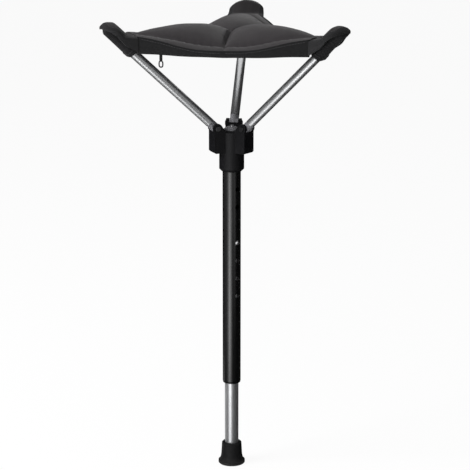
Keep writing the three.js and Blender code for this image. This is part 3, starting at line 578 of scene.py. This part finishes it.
# The crown's soft steps never all reach 1, so it is divided by the share that they do reach
CROWN_TOP_SHARE, PAST_END, END_REACH_SHARE, BORDER_PUFF = 0.93, 12.0, 0.7, 0.9


def swell(distance, reach):
    return 1 - np.exp(-np.maximum(distance, 0) / reach)


def ripple(along, phase):
    wave = np.sin(2 * math.pi * along / PUCKER_PITCH + phase)
    return wave + 0.5 * np.sin(2 * math.pi * along / (PUCKER_PITCH * 0.63) + 2.1 * phase)


def unevenness(across, aside):
    """Slow waves that run on over every seam, because they follow the plan."""
    slow = np.sin(across / 17.0 + 0.4) * np.sin(aside / 23.0 + 1.1)
    quick = np.sin((across + aside) / 9.5 + 2.0) * np.sin((across - 1.4 * aside) / 12.5)
    return 0.45 * slow + 0.22 * quick


def seam_distances(out, angle):
    edge = EDGE_OUT - out * np.cos(SECTOR - angle)
    other_edge = EDGE_OUT - out * np.cos(SECTOR + angle)
    seam = out * np.sin(SECTOR - angle)
    other_seam = out * np.sin(SECTOR + angle)
    end = PAD_END - out * np.cos(angle)
    return edge, other_edge, seam, other_seam, end


def pad_relief(out, angle, world_x, world_y):
    edge, other_edge, seam, other_seam, end = seam_distances(out, angle)
    inside = edge - BORDER
    full = swell(inside, CROWN_REACH) * swell(other_edge - BORDER, CROWN_REACH)
    full = full * swell(seam, CROWN_REACH) * swell(other_seam, CROWN_REACH)
    full = full * swell(end + PAST_END, CROWN_REACH * END_REACH_SHARE)
    relief = CROWN * full / CROWN_TOP_SHARE
    relief -= SEAM_DIP * np.exp(-(seam / SEAM_REACH) ** 2)
    relief -= ROW_DIP * np.exp(-(inside / ROW_REACH) ** 2) * swell(end, 6.0)
    border_puff = np.clip(1 - ((edge - BORDER / 2) / (BORDER / 2)) ** 2, 0, 1)
    relief += BORDER_PUFF * border_puff * swell(seam, 5.0)
    along_edge = out * np.sin(SECTOR - angle)
    pucker = PUCKER * ripple(along_edge, 0.7) * np.exp(-np.abs(inside) / PUCKER_REACH) * swell(seam, 9.0)
    pucker += 0.8 * PUCKER * ripple(out, 1.9) * np.exp(-seam / PUCKER_REACH) * swell(inside, 9.0)
    relief += pucker * swell(end, 14.0) * swell(angle * out, 9.0)
    return relief + unevenness(world_x, world_y) * swell(seam + 1.0, 9.0) * swell(edge, 6.0)


def pad_belly(out, angle):
    edge, other_edge, seam, other_seam, end = seam_distances(out, angle)
    full = swell(edge, BELLY_REACH) * swell(seam, BELLY_REACH) * swell(end, BELLY_REACH)
    full = full * swell(other_edge, BELLY_REACH) * swell(other_seam, BELLY_REACH)
    aside = out * np.sin(angle)
    groove = np.exp(-(aside / GROOVE_REACH) ** 2)
    return BELLY * full * (1 - groove) - ARM_GROOVE * groove * swell(seam, GROOVE_REACH)


def placed(out, angle, height, side, turn):
    """A point of the seat's plan, for one side's half, as rows of x, y and z."""
    azimuth = SIDES[side] + TURNS[turn] * angle
    return np.stack([out * np.cos(azimuth), out * np.sin(azimuth), height + 0 * out], axis=-1)


def pad_top(out, angle, side, turn):
    flat = placed(out, angle, 0 * out, side, turn)
    relief = pad_relief(out, angle, flat[..., 0], flat[..., 1])
    return placed(out, angle, seat_height(out, angle) + EDGE_HALF + relief, side, turn)


print("highest crown", round(float(pad_relief(80.0, 0.0, 0.0, 0.0)), 1), "mm over the pad's edge")


# %% [markdown]
# A sheet with thickness is two grids, an upper and a lower one, joined round their rim. One helper
# makes every cloth piece this way. It also stores where each point lies along the cloth, so that
# the weave follows the cloth and not the room.

# %% Meshes from grids
CLOTH_PLACE = "cloth_place"


def make_piece(name, points, faces, cloth, material, sharp_degrees=50):
    mesh = bpy.data.meshes.new(name)
    mesh.from_pydata((np.asarray(points) * MM).tolist(), [], faces)
    layer = mesh.attributes.new(CLOTH_PLACE, "FLOAT_VECTOR", "POINT")
    layer.data.foreach_set("vector", np.asarray(cloth, np.float32).ravel())
    mesh.polygons.foreach_set("use_smooth", [True] * len(mesh.polygons))
    mesh.set_sharp_from_angle(angle=math.radians(sharp_degrees))
    mesh.materials.append(material)
    mesh.update()
    return into_scene(name, mesh)


def face_outwards(piece):
    """Turns the faces round where the closed mesh encloses a negative volume."""
    mesh = piece.data
    volume = 0.0
    for face in mesh.polygons:
        corners = [mesh.vertices[k].co for k in face.vertices]
        for k in range(1, len(corners) - 1):
            volume += corners[0].dot(corners[k].cross(corners[k + 1]))
    if volume < 0:
        mesh.flip_normals()
    return piece


def slab(name, top, bottom, cloth, material):
    """A closed sheet from an upper and a lower grid of the same size."""
    rows, columns = top.shape[:2]
    points = np.concatenate([top.reshape(-1, 3), bottom.reshape(-1, 3)])
    places = np.concatenate([cloth.reshape(-1, 3), cloth.reshape(-1, 3)])
    lower = rows * columns
    faces = []
    for row in range(rows - 1):
        for column in range(columns - 1):
            a = row * columns + column
            b, c, d = a + 1, a + columns + 1, a + columns
            faces.append((a, b, c, d))
            faces.append((lower + d, lower + c, lower + b, lower + a))
    rim = [column for column in range(columns)]
    rim += [row * columns + columns - 1 for row in range(1, rows)]
    rim += [(rows - 1) * columns + column for column in range(columns - 2, -1, -1)]
    rim += [row * columns for row in range(rows - 2, 0, -1)]
    for here, there in zip(rim, rim[1:] + rim[:1]):
        faces.append((there, here, lower + here, lower + there))
    return face_outwards(make_piece(name, points, faces, places, material))


def tube_faces(start, rings, count):
    """Faces of a closed tube: rings of count points each, the first point numbered start."""
    faces = []
    for ring in range(start, start + (rings - 1) * count, count):
        for k in range(count):
            a, b = ring + k, ring + (k + 1) % count
            faces.append((a, b, b + count, a + count))
    last = start + (rings - 1) * count
    return faces + [tuple(reversed(range(start, start + count))), tuple(range(last, last + count))]


def swept(name, rings, cloth, material):
    """A closed tube through rings of equally many points."""
    faces = tube_faces(0, len(rings), len(rings[0]))
    return face_outwards(make_piece(name, np.concatenate(rings), faces, np.concatenate(cloth), material))


print("mesh helpers ready")


# %% [markdown]
# The seat's cloth is a charcoal polyester in plain weave, two threads over and under, with a dull
# sheen and slight melange from lighter fibres. The edge band, flaps and pockets are a tighter
# black cloth with a diagonal twill. Both weaves are heights over the cloth's own place.

# %% Cloth finishes
def cloth_place(finish):
    return finish.node("ShaderNodeAttribute", {"attribute_name": CLOTH_PLACE}, out="Vector")


def wave(finish, value, pitch):
    return finish.number("SINE", value * (2 * math.pi / pitch))


def split_place(finish, place):
    split = finish.node("ShaderNodeSeparateXYZ", {}, place)
    outputs = split.socket.node.outputs
    return Signal(finish, outputs["X"]), Signal(finish, outputs["Y"]), Signal(finish, outputs["Z"])


def plain_weave(name, dark, pale, pitch):
    finish = Finish(name)
    place = cloth_place(finish)
    across, aside, _ = split_place(finish, place)
    weave = wave(finish, across, pitch) * wave(finish, aside, pitch)
    slub = finish.noise(place * (0.25, 2.2, 1.0), 1.0, detail=4.0)
    cloud = finish.noise(place, 0.045, detail=4.0)
    melange = finish.noise(place, 1.1, detail=2.0)
    share = finish.range(weave * 0.22 + slub * 0.5 + cloud * 0.5 + melange * 0.35, 0.25, 1.1)
    height = weave * 0.5 + slub * 0.4
    return finish.surface(
        Base_Color=finish.mix(share, dark, pale), Roughness=0.86 + melange * 0.1,
        Sheen_Weight=0.14, Sheen_Roughness=0.45, Specular_IOR_Level=0.25,
        Normal=finish.bump(height, 0.00022, 0.7))


def twill_weave(name, dark, pale, pitch):
    finish = Finish(name)
    place = cloth_place(finish)
    across, aside, _ = split_place(finish, place)
    ridge = wave(finish, across + aside, pitch)
    thread = wave(finish, across - aside, pitch * 0.7)
    slub = finish.noise(place, 0.8, detail=3.0)
    cloud = finish.noise(place, 0.06, detail=3.0)
    share = finish.range(ridge * 0.2 + thread * 0.1 + slub * 0.5 + cloud * 0.6, 0.3, 1.1)
    return finish.surface(
        Base_Color=finish.mix(share, dark, pale), Roughness=0.74 + slub * 0.14,
        Sheen_Weight=0.06, Sheen_Roughness=0.4, Specular_IOR_Level=0.25,
        Normal=finish.bump(ridge * 0.5 + slub * 0.5, 0.00018, 0.6))


def twisted_thread(name, tone):
    finish = Finish(name)
    place = object_place(finish)
    fibre = finish.noise(place, 2400.0)
    lighter = tuple(part * 1.8 for part in tone)
    return finish.surface(Base_Color=finish.mix(fibre, tone, lighter), Roughness=0.55 + fibre * 0.2,
                          Normal=finish.bump(fibre, 0.00005, 0.5))


seat_cloth = plain_weave("seat_cloth", (0.0165, 0.015, 0.016), (0.040, 0.0365, 0.0385), 1.5)
edge_cloth = twill_weave("edge_tape", (0.0027, 0.0027, 0.003), (0.0085, 0.0085, 0.0093), 1.6)
sleeve_cloth = twill_weave("sleeve_cloth", (0.0035, 0.0035, 0.004), (0.012, 0.0115, 0.013), 1.3)
flap_cloth = twill_weave("flap_cloth", (0.008, 0.008, 0.0085), (0.022, 0.0215, 0.023), 1.3)
# The flap's facing is the seat's own cloth, but here at about half its tone: the cloth is real, the darker
# tone is painted shade on the raised flap that faces the camera
shaded_seat_cloth = plain_weave("shaded_seat_cloth", (0.0085, 0.0078, 0.0082), (0.021, 0.0192, 0.0202), 1.5)
row_thread = twisted_thread("seam_thread", (0.030, 0.029, 0.031))
print("cloth finishes ready")

# %% [markdown]
# Now the six half kites. Two halves meet along a corner's middle line, where the surface runs
# straight across, so no seam shows. When the stool folds, the halves close like a book.
# At full fold the arm still cuts into the padding and the corner's flap, where cloth would give way.

# %% Six padded halves
GRID_OUT, GRID_ROUND, GRID_END = 46, 34, 8
INNER_OUT = 0.5


def half_grid():
    end = np.linspace(0, PAD_END_ANGLE, GRID_END, endpoint=False)
    rest = PAD_END_ANGLE + (SECTOR - PAD_END_ANGLE) * np.linspace(0, 1, GRID_ROUND)
    angles = np.concatenate([end, rest])
    even = np.linspace(0, 1, GRID_OUT)
    shares = 0.45 * even + 0.55 * (1 - np.cos(even * math.pi)) / 2
    angle, share = np.meshgrid(angles, shares, indexing="ij")
    return INNER_OUT + (pad_out(angle) - INNER_OUT) * share, angle


def bend_over_corner_line(piece):
    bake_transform(piece)


def padded_half(side, turn):
    out, angle = half_grid()
    top = pad_top(out, angle, side, turn)
    low = seat_height(out, angle) - EDGE_HALF - pad_belly(out, angle)
    bottom = placed(out, angle, low, side, turn)
    cloth = np.stack([out * np.cos(angle), TURNS[turn] * out * np.sin(angle), 0 * out], axis=-1)
    piece = slab(f"padded_half_{side}_{turn}", top, bottom, cloth, seat_cloth)
    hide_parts(f"seat_pad_{side}_{turn}")
    bend_over_corner_line(piece)


for side in SIDES:
    for turn in TURNS:
        padded_half(side, turn)
print("six padded halves,", GRID_OUT * (GRID_ROUND + GRID_END), "points on each face")

# %% [markdown]
# A band of folded tape covers the raw edge all round. It is a soft, slightly full strip that
# stands on edge. The tape is a little longer than the edge it is sewn to, so it waves gently.

# %% The edge band
BAND_WIDTH, BAND_HEIGHT, BAND_SAG, BAND_LIFT = 4.0, 9.0, 1.5, 3.0
BAND_LOWEST = CENTRE_UP - EDGE_DROP - BAND_SAG - BAND_HEIGHT / 2
BAND_POINTS, BAND_STEPS, STITCH_DOWN = 28, 60, 2.9
BAND_OVER, BAND_PINCH, PINCH_REACH = 0.7, 0.25, 0.9


def band_path(share):
    angle = PAD_END_ANGLE + (SECTOR - PAD_END_ANGLE) * share
    out = edge_out(angle)
    facing = math.pi / 2 + (SECTOR - math.pi / 2) * share
    return angle, out, facing


def band_wave(along):
    return 0.16 * math.sin(along / 7.3) + 0.1 * math.sin(along / 3.1 + 1.0)


def band_section(along, share):
    """Points round the folded tape: full at its rims, pinched at the stitch row."""
    angle, out, _ = band_path(share)
    top = seat_height(out, angle) - BAND_SAG + BAND_HEIGHT / 2
    bottom = BAND_LOWEST + BAND_LIFT * (1 - share) ** 2
    turns = np.linspace(0, 2 * math.pi, BAND_POINTS, endpoint=False)
    across = np.sign(np.cos(turns)) * np.abs(np.cos(turns)) ** 0.6
    up = np.sign(np.sin(turns)) * np.abs(np.sin(turns)) ** 0.8
    heights = (top + bottom + up * (top - bottom)) / 2
    pinch = 1 - BAND_PINCH * np.exp(-((top - STITCH_DOWN - heights) / PINCH_REACH) ** 2)
    widths = BAND_WIDTH / 2 * (1 + across * pinch) + band_wave(along)
    return widths, heights + 0.25 * math.sin(along / 11.0)


def beside_edge(share, proud, height, side, turn):
    angle, out, facing = band_path(share)
    x = out * math.cos(angle) + proud * math.cos(facing)
    y = out * math.sin(angle) + proud * math.sin(facing)
    return turn_to_side(x, y, height, side, turn)


def edge_band(side, turn):
    rings, cloth = [], []
    for share in np.linspace(0, 1, BAND_STEPS):
        angle, out, _ = band_path(share)
        along = out * math.sin(SECTOR - angle)
        widths, heights = band_section(along, share)
        rings.append(beside_edge(share, widths - BAND_OVER, heights, side, turn))
        cloth.append(np.stack([0 * heights + along, heights + widths, 0 * heights], axis=-1))
    piece = swept(f"edge_band_{side}_{turn}", rings, cloth, edge_cloth)
    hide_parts(f"edge_binding_{side}_{turn}")
    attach(piece, f"{side}_pad_{turn}")


def turn_to_side(x, y, z, side, turn):
    """Takes a point of the pattern half to one of the six halves."""
    y = y * TURNS[turn]
    azimuth = SIDES[side]
    return np.stack([x * math.cos(azimuth) - y * math.sin(azimuth),
                     x * math.sin(azimuth) + y * math.cos(azimuth), z + 0 * x], axis=-1)


for side in SIDES:
    for turn in TURNS:
        edge_band(side, turn)
print("edge band made in six stretches")

# %% [markdown]
# At each corner a black cloth flap runs from the padded kite over the arm's tip, and a sleeve sewn
# under it takes the arm. The flap rises over the sleeve as a soft ridge and ends in a rounded
# nose. Its height is the higher of the seat and the ridge, blended so that no crease shows.

# %% Corner flaps
POCKET_CLOTH, POCKET_GAP = 1.3, 0.6
TIP_CAP_RADIUS, TIP_CAP_LENGTH, TIP_CAP_ROUND = 6.35, 4.5, 6.0
FLAP_THICK, FLAP_RIDGE, FLAP_NOSE, FLAP_BLEND = 3.0, 28.0, 6.5, 1.6
FLAP_END, FLAP_TIP_HALF = TIP_OUT + 8.8, 24.0
NOSE_START, NOSE_END_SHARE, FACING_SPREAD, FACING_END = 0.5, 0.25, 0.74, 0.86
FLAP_WALL, SKIRT_DEPTH, SKIRT_POWER, SKIRT_ROWS = 2.4, 15.5, 1.3, 9
FLAP_ROWS, FLAP_COLUMNS = 40, 40


def soft_higher(one, other, blend):
    return (one + other + np.sqrt((one - other) ** 2 + blend ** 2)) / 2


def above_arm(distance, offset):
    out = PIVOT_OUT + distance * math.sin(ARM_LEAN) - offset * math.cos(ARM_LEAN)
    up = PIVOT_UP + distance * math.cos(ARM_LEAN) + offset * math.sin(ARM_LEAN)
    return out, up


def flap_middle(across, aside):
    lift = TIP_CAP_RADIUS + POCKET_GAP + POCKET_CLOTH + 0.3 + FLAP_THICK / 2
    ridge_out, ridge_up = above_arm(0, lift)
    _, crest = above_arm(ARM_LENGTH, lift)
    seat = seat_height(np.hypot(across, aside), np.arctan2(np.abs(aside), across))
    climb = ridge_up + (across - ridge_out) / math.tan(ARM_LEAN) + FLAP_BLEND
    top = crest + FLAP_BLEND
    bow = aside ** 2 / (2 * FLAP_RIDGE) + np.maximum(0, across - TIP_OUT) ** 2 / (2 * FLAP_NOSE)
    return soft_higher(-soft_higher(-climb, -top, FLAP_BLEND) - bow, seat, FLAP_BLEND)


def flap_half_width(share):
    start_half = PAD_END * math.tan(PAD_END_ANGLE) + BAND_WIDTH + 0.3
    into_nose = np.maximum(0, (share - NOSE_START) / (1 - NOSE_START))
    nose = NOSE_END_SHARE + (1 - NOSE_END_SHARE) * np.sqrt(np.maximum(0, 1 - into_nose ** 2))
    return (start_half + (FLAP_TIP_HALF - start_half) * share) * nose


def flap_points(share, spread):
    start = PAD_END + 0.6
    across = start + (FLAP_END - start) * share
    aside = flap_half_width(share) * spread
    middle = flap_middle(across, aside)
    crease = 0.35 * np.sin(aside / 2.3 + across / 9.0) * swell(FLAP_END - across, 12.0)
    return across, aside, middle + crease * (1 - np.abs(spread))


def flap_section(share):
    """Points round the flap's cloth at one place along it: over the top, then back underneath."""
    half = float(flap_half_width(share))
    spread = np.linspace(-1, 1, FLAP_COLUMNS)
    across, aside, middle = flap_points(share, spread)
    under_half = max(half - FLAP_WALL, 0.4)
    _, _, under = flap_points(share, spread * under_half / half)
    hem_up = float(flap_points(share, 1.0)[2]) - FLAP_THICK / 2 - SKIRT_DEPTH * (1 - share) ** SKIRT_POWER
    down = np.linspace(0, 1, SKIRT_ROWS)
    edge_top, edge_under = middle[-1] + FLAP_THICK / 2 * 0.6, under[-1] - FLAP_THICK / 2
    billow = 0.5 * np.sin(down * math.pi) * (1 - share)
    outer_z, inner_z = edge_top + (hem_up - edge_top) * down, edge_under + (hem_up - edge_under) * down
    shoulder = FLAP_THICK / 2 * (0.6 + 0.4 * np.sqrt(np.clip(1 - np.abs(spread) ** 10, 0, 1)))
    outside = [(-half - puff, z) for puff, z in zip(billow[::-1], outer_z[::-1])][:-1]
    outside += list(zip(aside, middle + shoulder))
    outside += [(half + puff, z) for puff, z in zip(billow, outer_z)][1:]
    inside = [(-under_half - puff, z) for puff, z in zip(billow[::-1], inner_z[::-1])][:-1]
    inside += list(zip(spread * under_half, under - FLAP_THICK / 2))
    inside += [(under_half + puff, z) for puff, z in zip(billow, inner_z)][1:]
    ring = np.array(outside + inside[::-1])
    return np.stack([np.full(len(ring), float(np.mean(across))), ring[:, 0], ring[:, 1]], axis=-1)


def face_with_shaded_seat_cloth(piece, shares, around):
    """The flap's middle is faced with the seat's cloth inside a black rim, at about half its tone as painted
    shade.
    """
    piece.data.materials.append(shaded_seat_cloth)
    for ring, share in enumerate(shares[:-1]):
        for column in range(FLAP_COLUMNS - 1):
            spread = abs(2 * (column + 0.5) / (FLAP_COLUMNS - 1) - 1)
            if spread < FACING_SPREAD and share < FACING_END:
                piece.data.polygons[ring * around + SKIRT_ROWS - 1 + column].material_index = 1


def corner_flap(side):
    shares = np.sin(np.linspace(0, 1, FLAP_ROWS) * math.pi / 2)
    sections = [flap_section(share) for share in shares]
    rings = [turn_to_side(ring[:, 0], ring[:, 1], ring[:, 2], side, "anticlockwise") for ring in sections]
    cloth = []
    for ring in sections:
        steps = np.hypot(np.diff(ring[:, 1]), np.diff(ring[:, 2]))
        cloth.append(np.stack([ring[:, 0], np.concatenate([[0], np.cumsum(steps)]), 0 * ring[:, 0]], axis=-1))
    piece = swept(f"corner_flap_{side}", rings, cloth, flap_cloth)
    face_with_shaded_seat_cloth(piece, shares, len(rings[0]))
    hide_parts(f"corner_patch_{side}")
    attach(piece, f"{side}_corner")


for side in SIDES:
    corner_flap(side)
print("three corner flaps, each", round(FLAP_END - PAD_END, 1), "mm long")

# %% [markdown]
# The sleeve is a flattened tube of the same cloth, wide at its mouth and shut round the tip. Its
# wall has two faces, so it is a real open pocket. Its hem is turned up and stitched, which makes
# a thicker rim, and slack cloth folds softly along its length.

# %% Corner sleeves
SLEEVE_LENGTH = 46.0
MOUTH_HALF_WIDTH, MOUTH_HALF_HEIGHT = 14.6, 8.6
SLEEVE_POINTS, SLEEVE_STEPS, NOSE_STEPS = 48, 26, 8
HEM_LENGTH, HEM_PROUD = 7.0, 0.5
TIP_HALF = TIP_CAP_RADIUS + POCKET_GAP + POCKET_CLOTH
TIP_END = ARM_LENGTH + TIP_CAP_LENGTH + POCKET_GAP + POCKET_CLOTH
MOUTH = TIP_END - SLEEVE_LENGTH - TIP_CAP_LENGTH
SLEEVE_BODY_END = TIP_END - (TIP_CAP_ROUND + POCKET_GAP + POCKET_CLOTH)


def sleeve_rings(inset, end):
    rings, cloth = [], []
    turns = np.linspace(0, 2 * math.pi, SLEEVE_POINTS, endpoint=False)
    for share in np.linspace(0, 1, SLEEVE_STEPS):
        along = MOUTH + (SLEEVE_BODY_END - MOUTH) * share
        narrowing = math.sin(share * math.pi / 2)
        wide = MOUTH_HALF_WIDTH + (TIP_HALF - MOUTH_HALF_WIDTH) * narrowing - inset
        high = MOUTH_HALF_HEIGHT + (TIP_HALF - MOUTH_HALF_HEIGHT) * narrowing - inset
        slack = 0.5 * (1 - narrowing) * np.sin(5 * turns + along / 11.0)
        if inset == 0:
            hem = HEM_PROUD / (1 + math.exp((along - MOUTH - HEM_LENGTH) / 0.35))
            slack = slack * 0.8 - 0.25 + hem
        rings.append((along + 0 * turns, (high + slack) * np.cos(turns), (wide + slack) * np.sin(turns)))
    for step in range(1, NOSE_STEPS + 1):
        turn = step / NOSE_STEPS * math.pi / 2
        size = max((TIP_HALF - inset) * math.cos(turn), 0.05)
        along = SLEEVE_BODY_END + (end - SLEEVE_BODY_END) * math.sin(turn)
        rings.append((along + 0 * turns, size * np.cos(turns), size * np.sin(turns)))
    for along, _, _ in rings:
        cloth.append(np.stack([along, turns * TIP_HALF, 0 * turns], axis=-1))
    return rings, cloth


def on_arm(along, above, aside, side):
    """Takes a place along, above and beside an arm's middle line to the room."""
    out, up = above_arm(along, above)
    return turn_to_side(out, aside, up, side, "anticlockwise")


def corner_sleeve(side):
    outer, outer_cloth = sleeve_rings(0, TIP_END)
    inner, inner_cloth = sleeve_rings(POCKET_CLOTH, TIP_END - POCKET_CLOTH)
    rows = list(reversed(outer)) + inner
    cloth = list(reversed(outer_cloth)) + inner_cloth
    rings = [on_arm(along, above, aside, side) for along, above, aside in rows]
    piece = swept(f"corner_sleeve_{side}", rings, cloth, sleeve_cloth)
    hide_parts(f"corner_pocket_{side}")
    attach(piece, f"{side}_arm")


for side in SIDES:
    corner_sleeve(side)
print("three sleeves with mouths", 2 * MOUTH_HALF_WIDTH, "mm wide")

# %% [markdown]
# Stitches are real beads of thread, because they catch the light along a row. Each bead is a tiny
# spindle laid on the cloth. One mesh holds all beads that move together.

# %% Rows of stitches
STITCH_PITCH, STITCH_LENGTH, STITCH_RADIUS, STITCH_RISE_SHARE = 3.6, 2.5, 0.3, 0.4
STITCH_AHEAD, SEAM_ROW_BESIDE = 0.6, 4.5
SPINDLE = [(-0.5, 0.25), (-0.32, 0.85), (0.0, 1.0), (0.32, 0.85), (0.5, 0.25)]
SPINDLE_SIDES = 6


def spread_along(path, pitch, first_share, look_ahead):
    """Places and directions at an even pitch along a path of points."""
    path = np.asarray(path, float)
    steps = np.linalg.norm(np.diff(path, axis=0), axis=1)
    travelled = np.concatenate([[0], np.cumsum(steps)])
    places, ways = [], []
    for k in range(int(travelled[-1] / pitch)):
        here = (k + first_share) * pitch
        at = np.array([np.interp(here, travelled, path[:, axis]) for axis in range(3)])
        ahead = np.array([np.interp(here + look_ahead, travelled, path[:, axis]) for axis in range(3)])
        places.append(at)
        ways.append((ahead - at) / np.linalg.norm(ahead - at))
    return places, ways


def stitch_rows(name, paths):
    points, faces = [], []
    for path in paths:
        for place, way in zip(*spread_along(path, STITCH_PITCH, 0.5, STITCH_AHEAD)):
            beside = np.cross(way, (0.0, 0.0, 1.0))
            beside = beside / np.linalg.norm(beside)
            above = np.cross(beside, way)
            faces += tube_faces(len(points), len(SPINDLE), SPINDLE_SIDES)
            for along, size in SPINDLE:
                for k in range(SPINDLE_SIDES):
                    turn = 2 * math.pi * k / SPINDLE_SIDES
                    offset = STITCH_RADIUS * size * (math.cos(turn) * beside + math.sin(turn) * above)
                    points.append(place + along * STITCH_LENGTH * way + offset)
    piece = make_piece(name, points, faces, np.zeros((len(points), 3)), row_thread)
    return face_outwards(piece)


def border_row(side, turn, inset):
    reach = math.acos((EDGE_OUT - inset) / (PAD_END - 9.0)) if EDGE_OUT - inset < PAD_END else 0.0
    angles = np.linspace(max(SECTOR - reach, 0.03), SECTOR - 0.03, 80)
    out = (EDGE_OUT - inset) / np.cos(SECTOR - angles)
    keep = out * np.cos(angles) < PAD_END - 5.0
    path = pad_top(out[keep], angles[keep], side, turn)
    path[:, 2] += STITCH_RADIUS * STITCH_RISE_SHARE
    return path


def seam_row(side, turn, beside):
    out = np.linspace(12.0, EDGE_OUT - BORDER - 4.0, 60)
    angles = SECTOR - np.arcsin(beside / out)
    path = pad_top(out, angles, side, turn)
    path[:, 2] += STITCH_RADIUS * STITCH_RISE_SHARE
    return path


# At its stitch row the pinched tape has this share of its width, and the thread lies half sunk
PINCHED_SHARE, STITCH_SEAT = 1 - BAND_PINCH / 2, 0.1


def band_row(side, turn):
    path = []
    for share in np.linspace(0.02, 0.98, 90):
        angle, out, _ = band_path(share)
        along = out * math.sin(SECTOR - angle)
        level = seat_height(out, angle) - BAND_SAG + BAND_HEIGHT / 2 - STITCH_DOWN
        proud = BAND_WIDTH * PINCHED_SHARE + band_wave(along) - BAND_OVER + STITCH_SEAT
        path.append(beside_edge(share, proud, level, side, turn))
    return path


for side in SIDES:
    for turn in TURNS:
        row = stitch_rows(f"pad_stitches_{side}_{turn}",
                          [border_row(side, turn, BORDER), seam_row(side, turn, SEAM_ROW_BESIDE)])
        bend_over_corner_line(row)
        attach(stitch_rows(f"band_stitches_{side}_{turn}", [band_row(side, turn)]), f"{side}_pad_{turn}")
print("stitches made")


# %% Stitches on the flaps and the sleeves' hems
def flap_row(side):
    path = []
    for share in np.linspace(0.02, FACING_END, 70):
        across, aside, middle = flap_points(share, FACING_SPREAD + 0.02)
        path.append((across, aside, middle + FLAP_THICK / 2))
    nose_across, nose_aside, nose_middle = flap_points(FACING_END, np.linspace(0.7, -0.7, 16))
    path += [(nose_across, aside, middle + FLAP_THICK / 2) for aside, middle in zip(nose_aside, nose_middle)]
    mirror = [(across, -aside, up) for across, aside, up in path[:70]]
    rows = np.array(path + mirror[::-1], float)
    return turn_to_side(rows[:, 0], rows[:, 1], rows[:, 2], side, "anticlockwise")


def hem_row(side):
    turns = np.linspace(0, 2 * math.pi, 90)
    high = MOUTH_HALF_HEIGHT + HEM_PROUD - 0.1
    wide = MOUTH_HALF_WIDTH + HEM_PROUD - 0.1
    along = MOUTH + HEM_LENGTH - 1.6
    slack = 0.4 * np.sin(5 * turns + along / 11.0)
    return on_arm(along + 0 * turns, (high + slack) * np.cos(turns) * 0.99,
                  (wide + slack) * np.sin(turns) * 0.97, side)


for side in SIDES:
    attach(stitch_rows(f"flap_stitches_{side}", [flap_row(side)]), f"{side}_corner")
    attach(stitch_rows(f"hem_stitches_{side}", [hem_row(side)]), f"{side}_arm")
print("corner stitches made")

# %% [markdown]
# The cover opens with a zip under the front of the left kite. Its tape is woven, with two rows of
# nylon coil that show as a close line of teeth.

# %% Zip
ZIP_START, ZIP_END = math.radians(10.5), math.radians(36)
ZIP_INSET, ZIP_HALF, ZIP_THICK, ZIP_GAP = 12.0, 5.5, 1.1, 0.6
TOOTH_PITCH, TOOTH_SIDES, TOOTH_HALF, TOOTH_THICK, TOOTH_HIGH = 1.5, 6, 1.7, 0.5, 0.42


def under_pad(angle, inset, drop):
    out = edge_out(angle) - inset / np.cos(SECTOR - angle)
    low = seat_height(out, angle) - EDGE_HALF - pad_belly(out, angle) - drop
    return placed(out, angle, low, "left", "anticlockwise")


def zip_tape():
    angles, insets = np.meshgrid(np.linspace(ZIP_START, ZIP_END, 50),
                                 np.linspace(ZIP_INSET + ZIP_HALF, ZIP_INSET - ZIP_HALF, 12), indexing="ij")
    top = under_pad(angles, insets, ZIP_GAP)
    bottom = under_pad(angles, insets, ZIP_GAP + ZIP_THICK * 0.6)
    cloth = np.stack([angles * 110, insets, 0 * insets], axis=-1)
    piece = slab("zip_tape_cloth", top, bottom, cloth, edge_cloth)
    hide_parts("zip_tape")
    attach(piece, "left_pad_anticlockwise")


def zip_teeth():
    angles = np.linspace(ZIP_START + 0.02, ZIP_END - 0.01, 300)
    path = under_pad(angles, np.full(angles.shape, ZIP_INSET), ZIP_GAP + ZIP_THICK * 0.6)
    points, faces = [], []
    for place, way in zip(*spread_along(path, TOOTH_PITCH, 0, 1)):
        beside = np.cross(way, (0, 0, 1))
        above = np.cross(beside, way)
        faces += tube_faces(len(points), 2, TOOTH_SIDES)
        for end in (-1, 1):
            for turn in np.linspace(0, 2 * math.pi, TOOTH_SIDES, endpoint=False):
                offset = TOOTH_THICK * math.cos(turn) * way + TOOTH_HIGH * math.sin(turn) * above
                points.append(place + end * TOOTH_HALF * beside + offset)
    nylon = moulded_nylon("zip_nylon", BLACK_NYLON, LEG_FOOT, UP, 0.0)
    piece = face_outwards(make_piece("zip_teeth", points, faces, np.zeros((len(points), 3)), nylon))
    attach(piece, "left_pad_anticlockwise")


zip_teeth()
zip_tape()
dress("zip_pull", moulded_nylon("pull_nylon", BLACK_NYLON, LEG_FOOT, UP, 0.0, 0.3))
print("zip made")
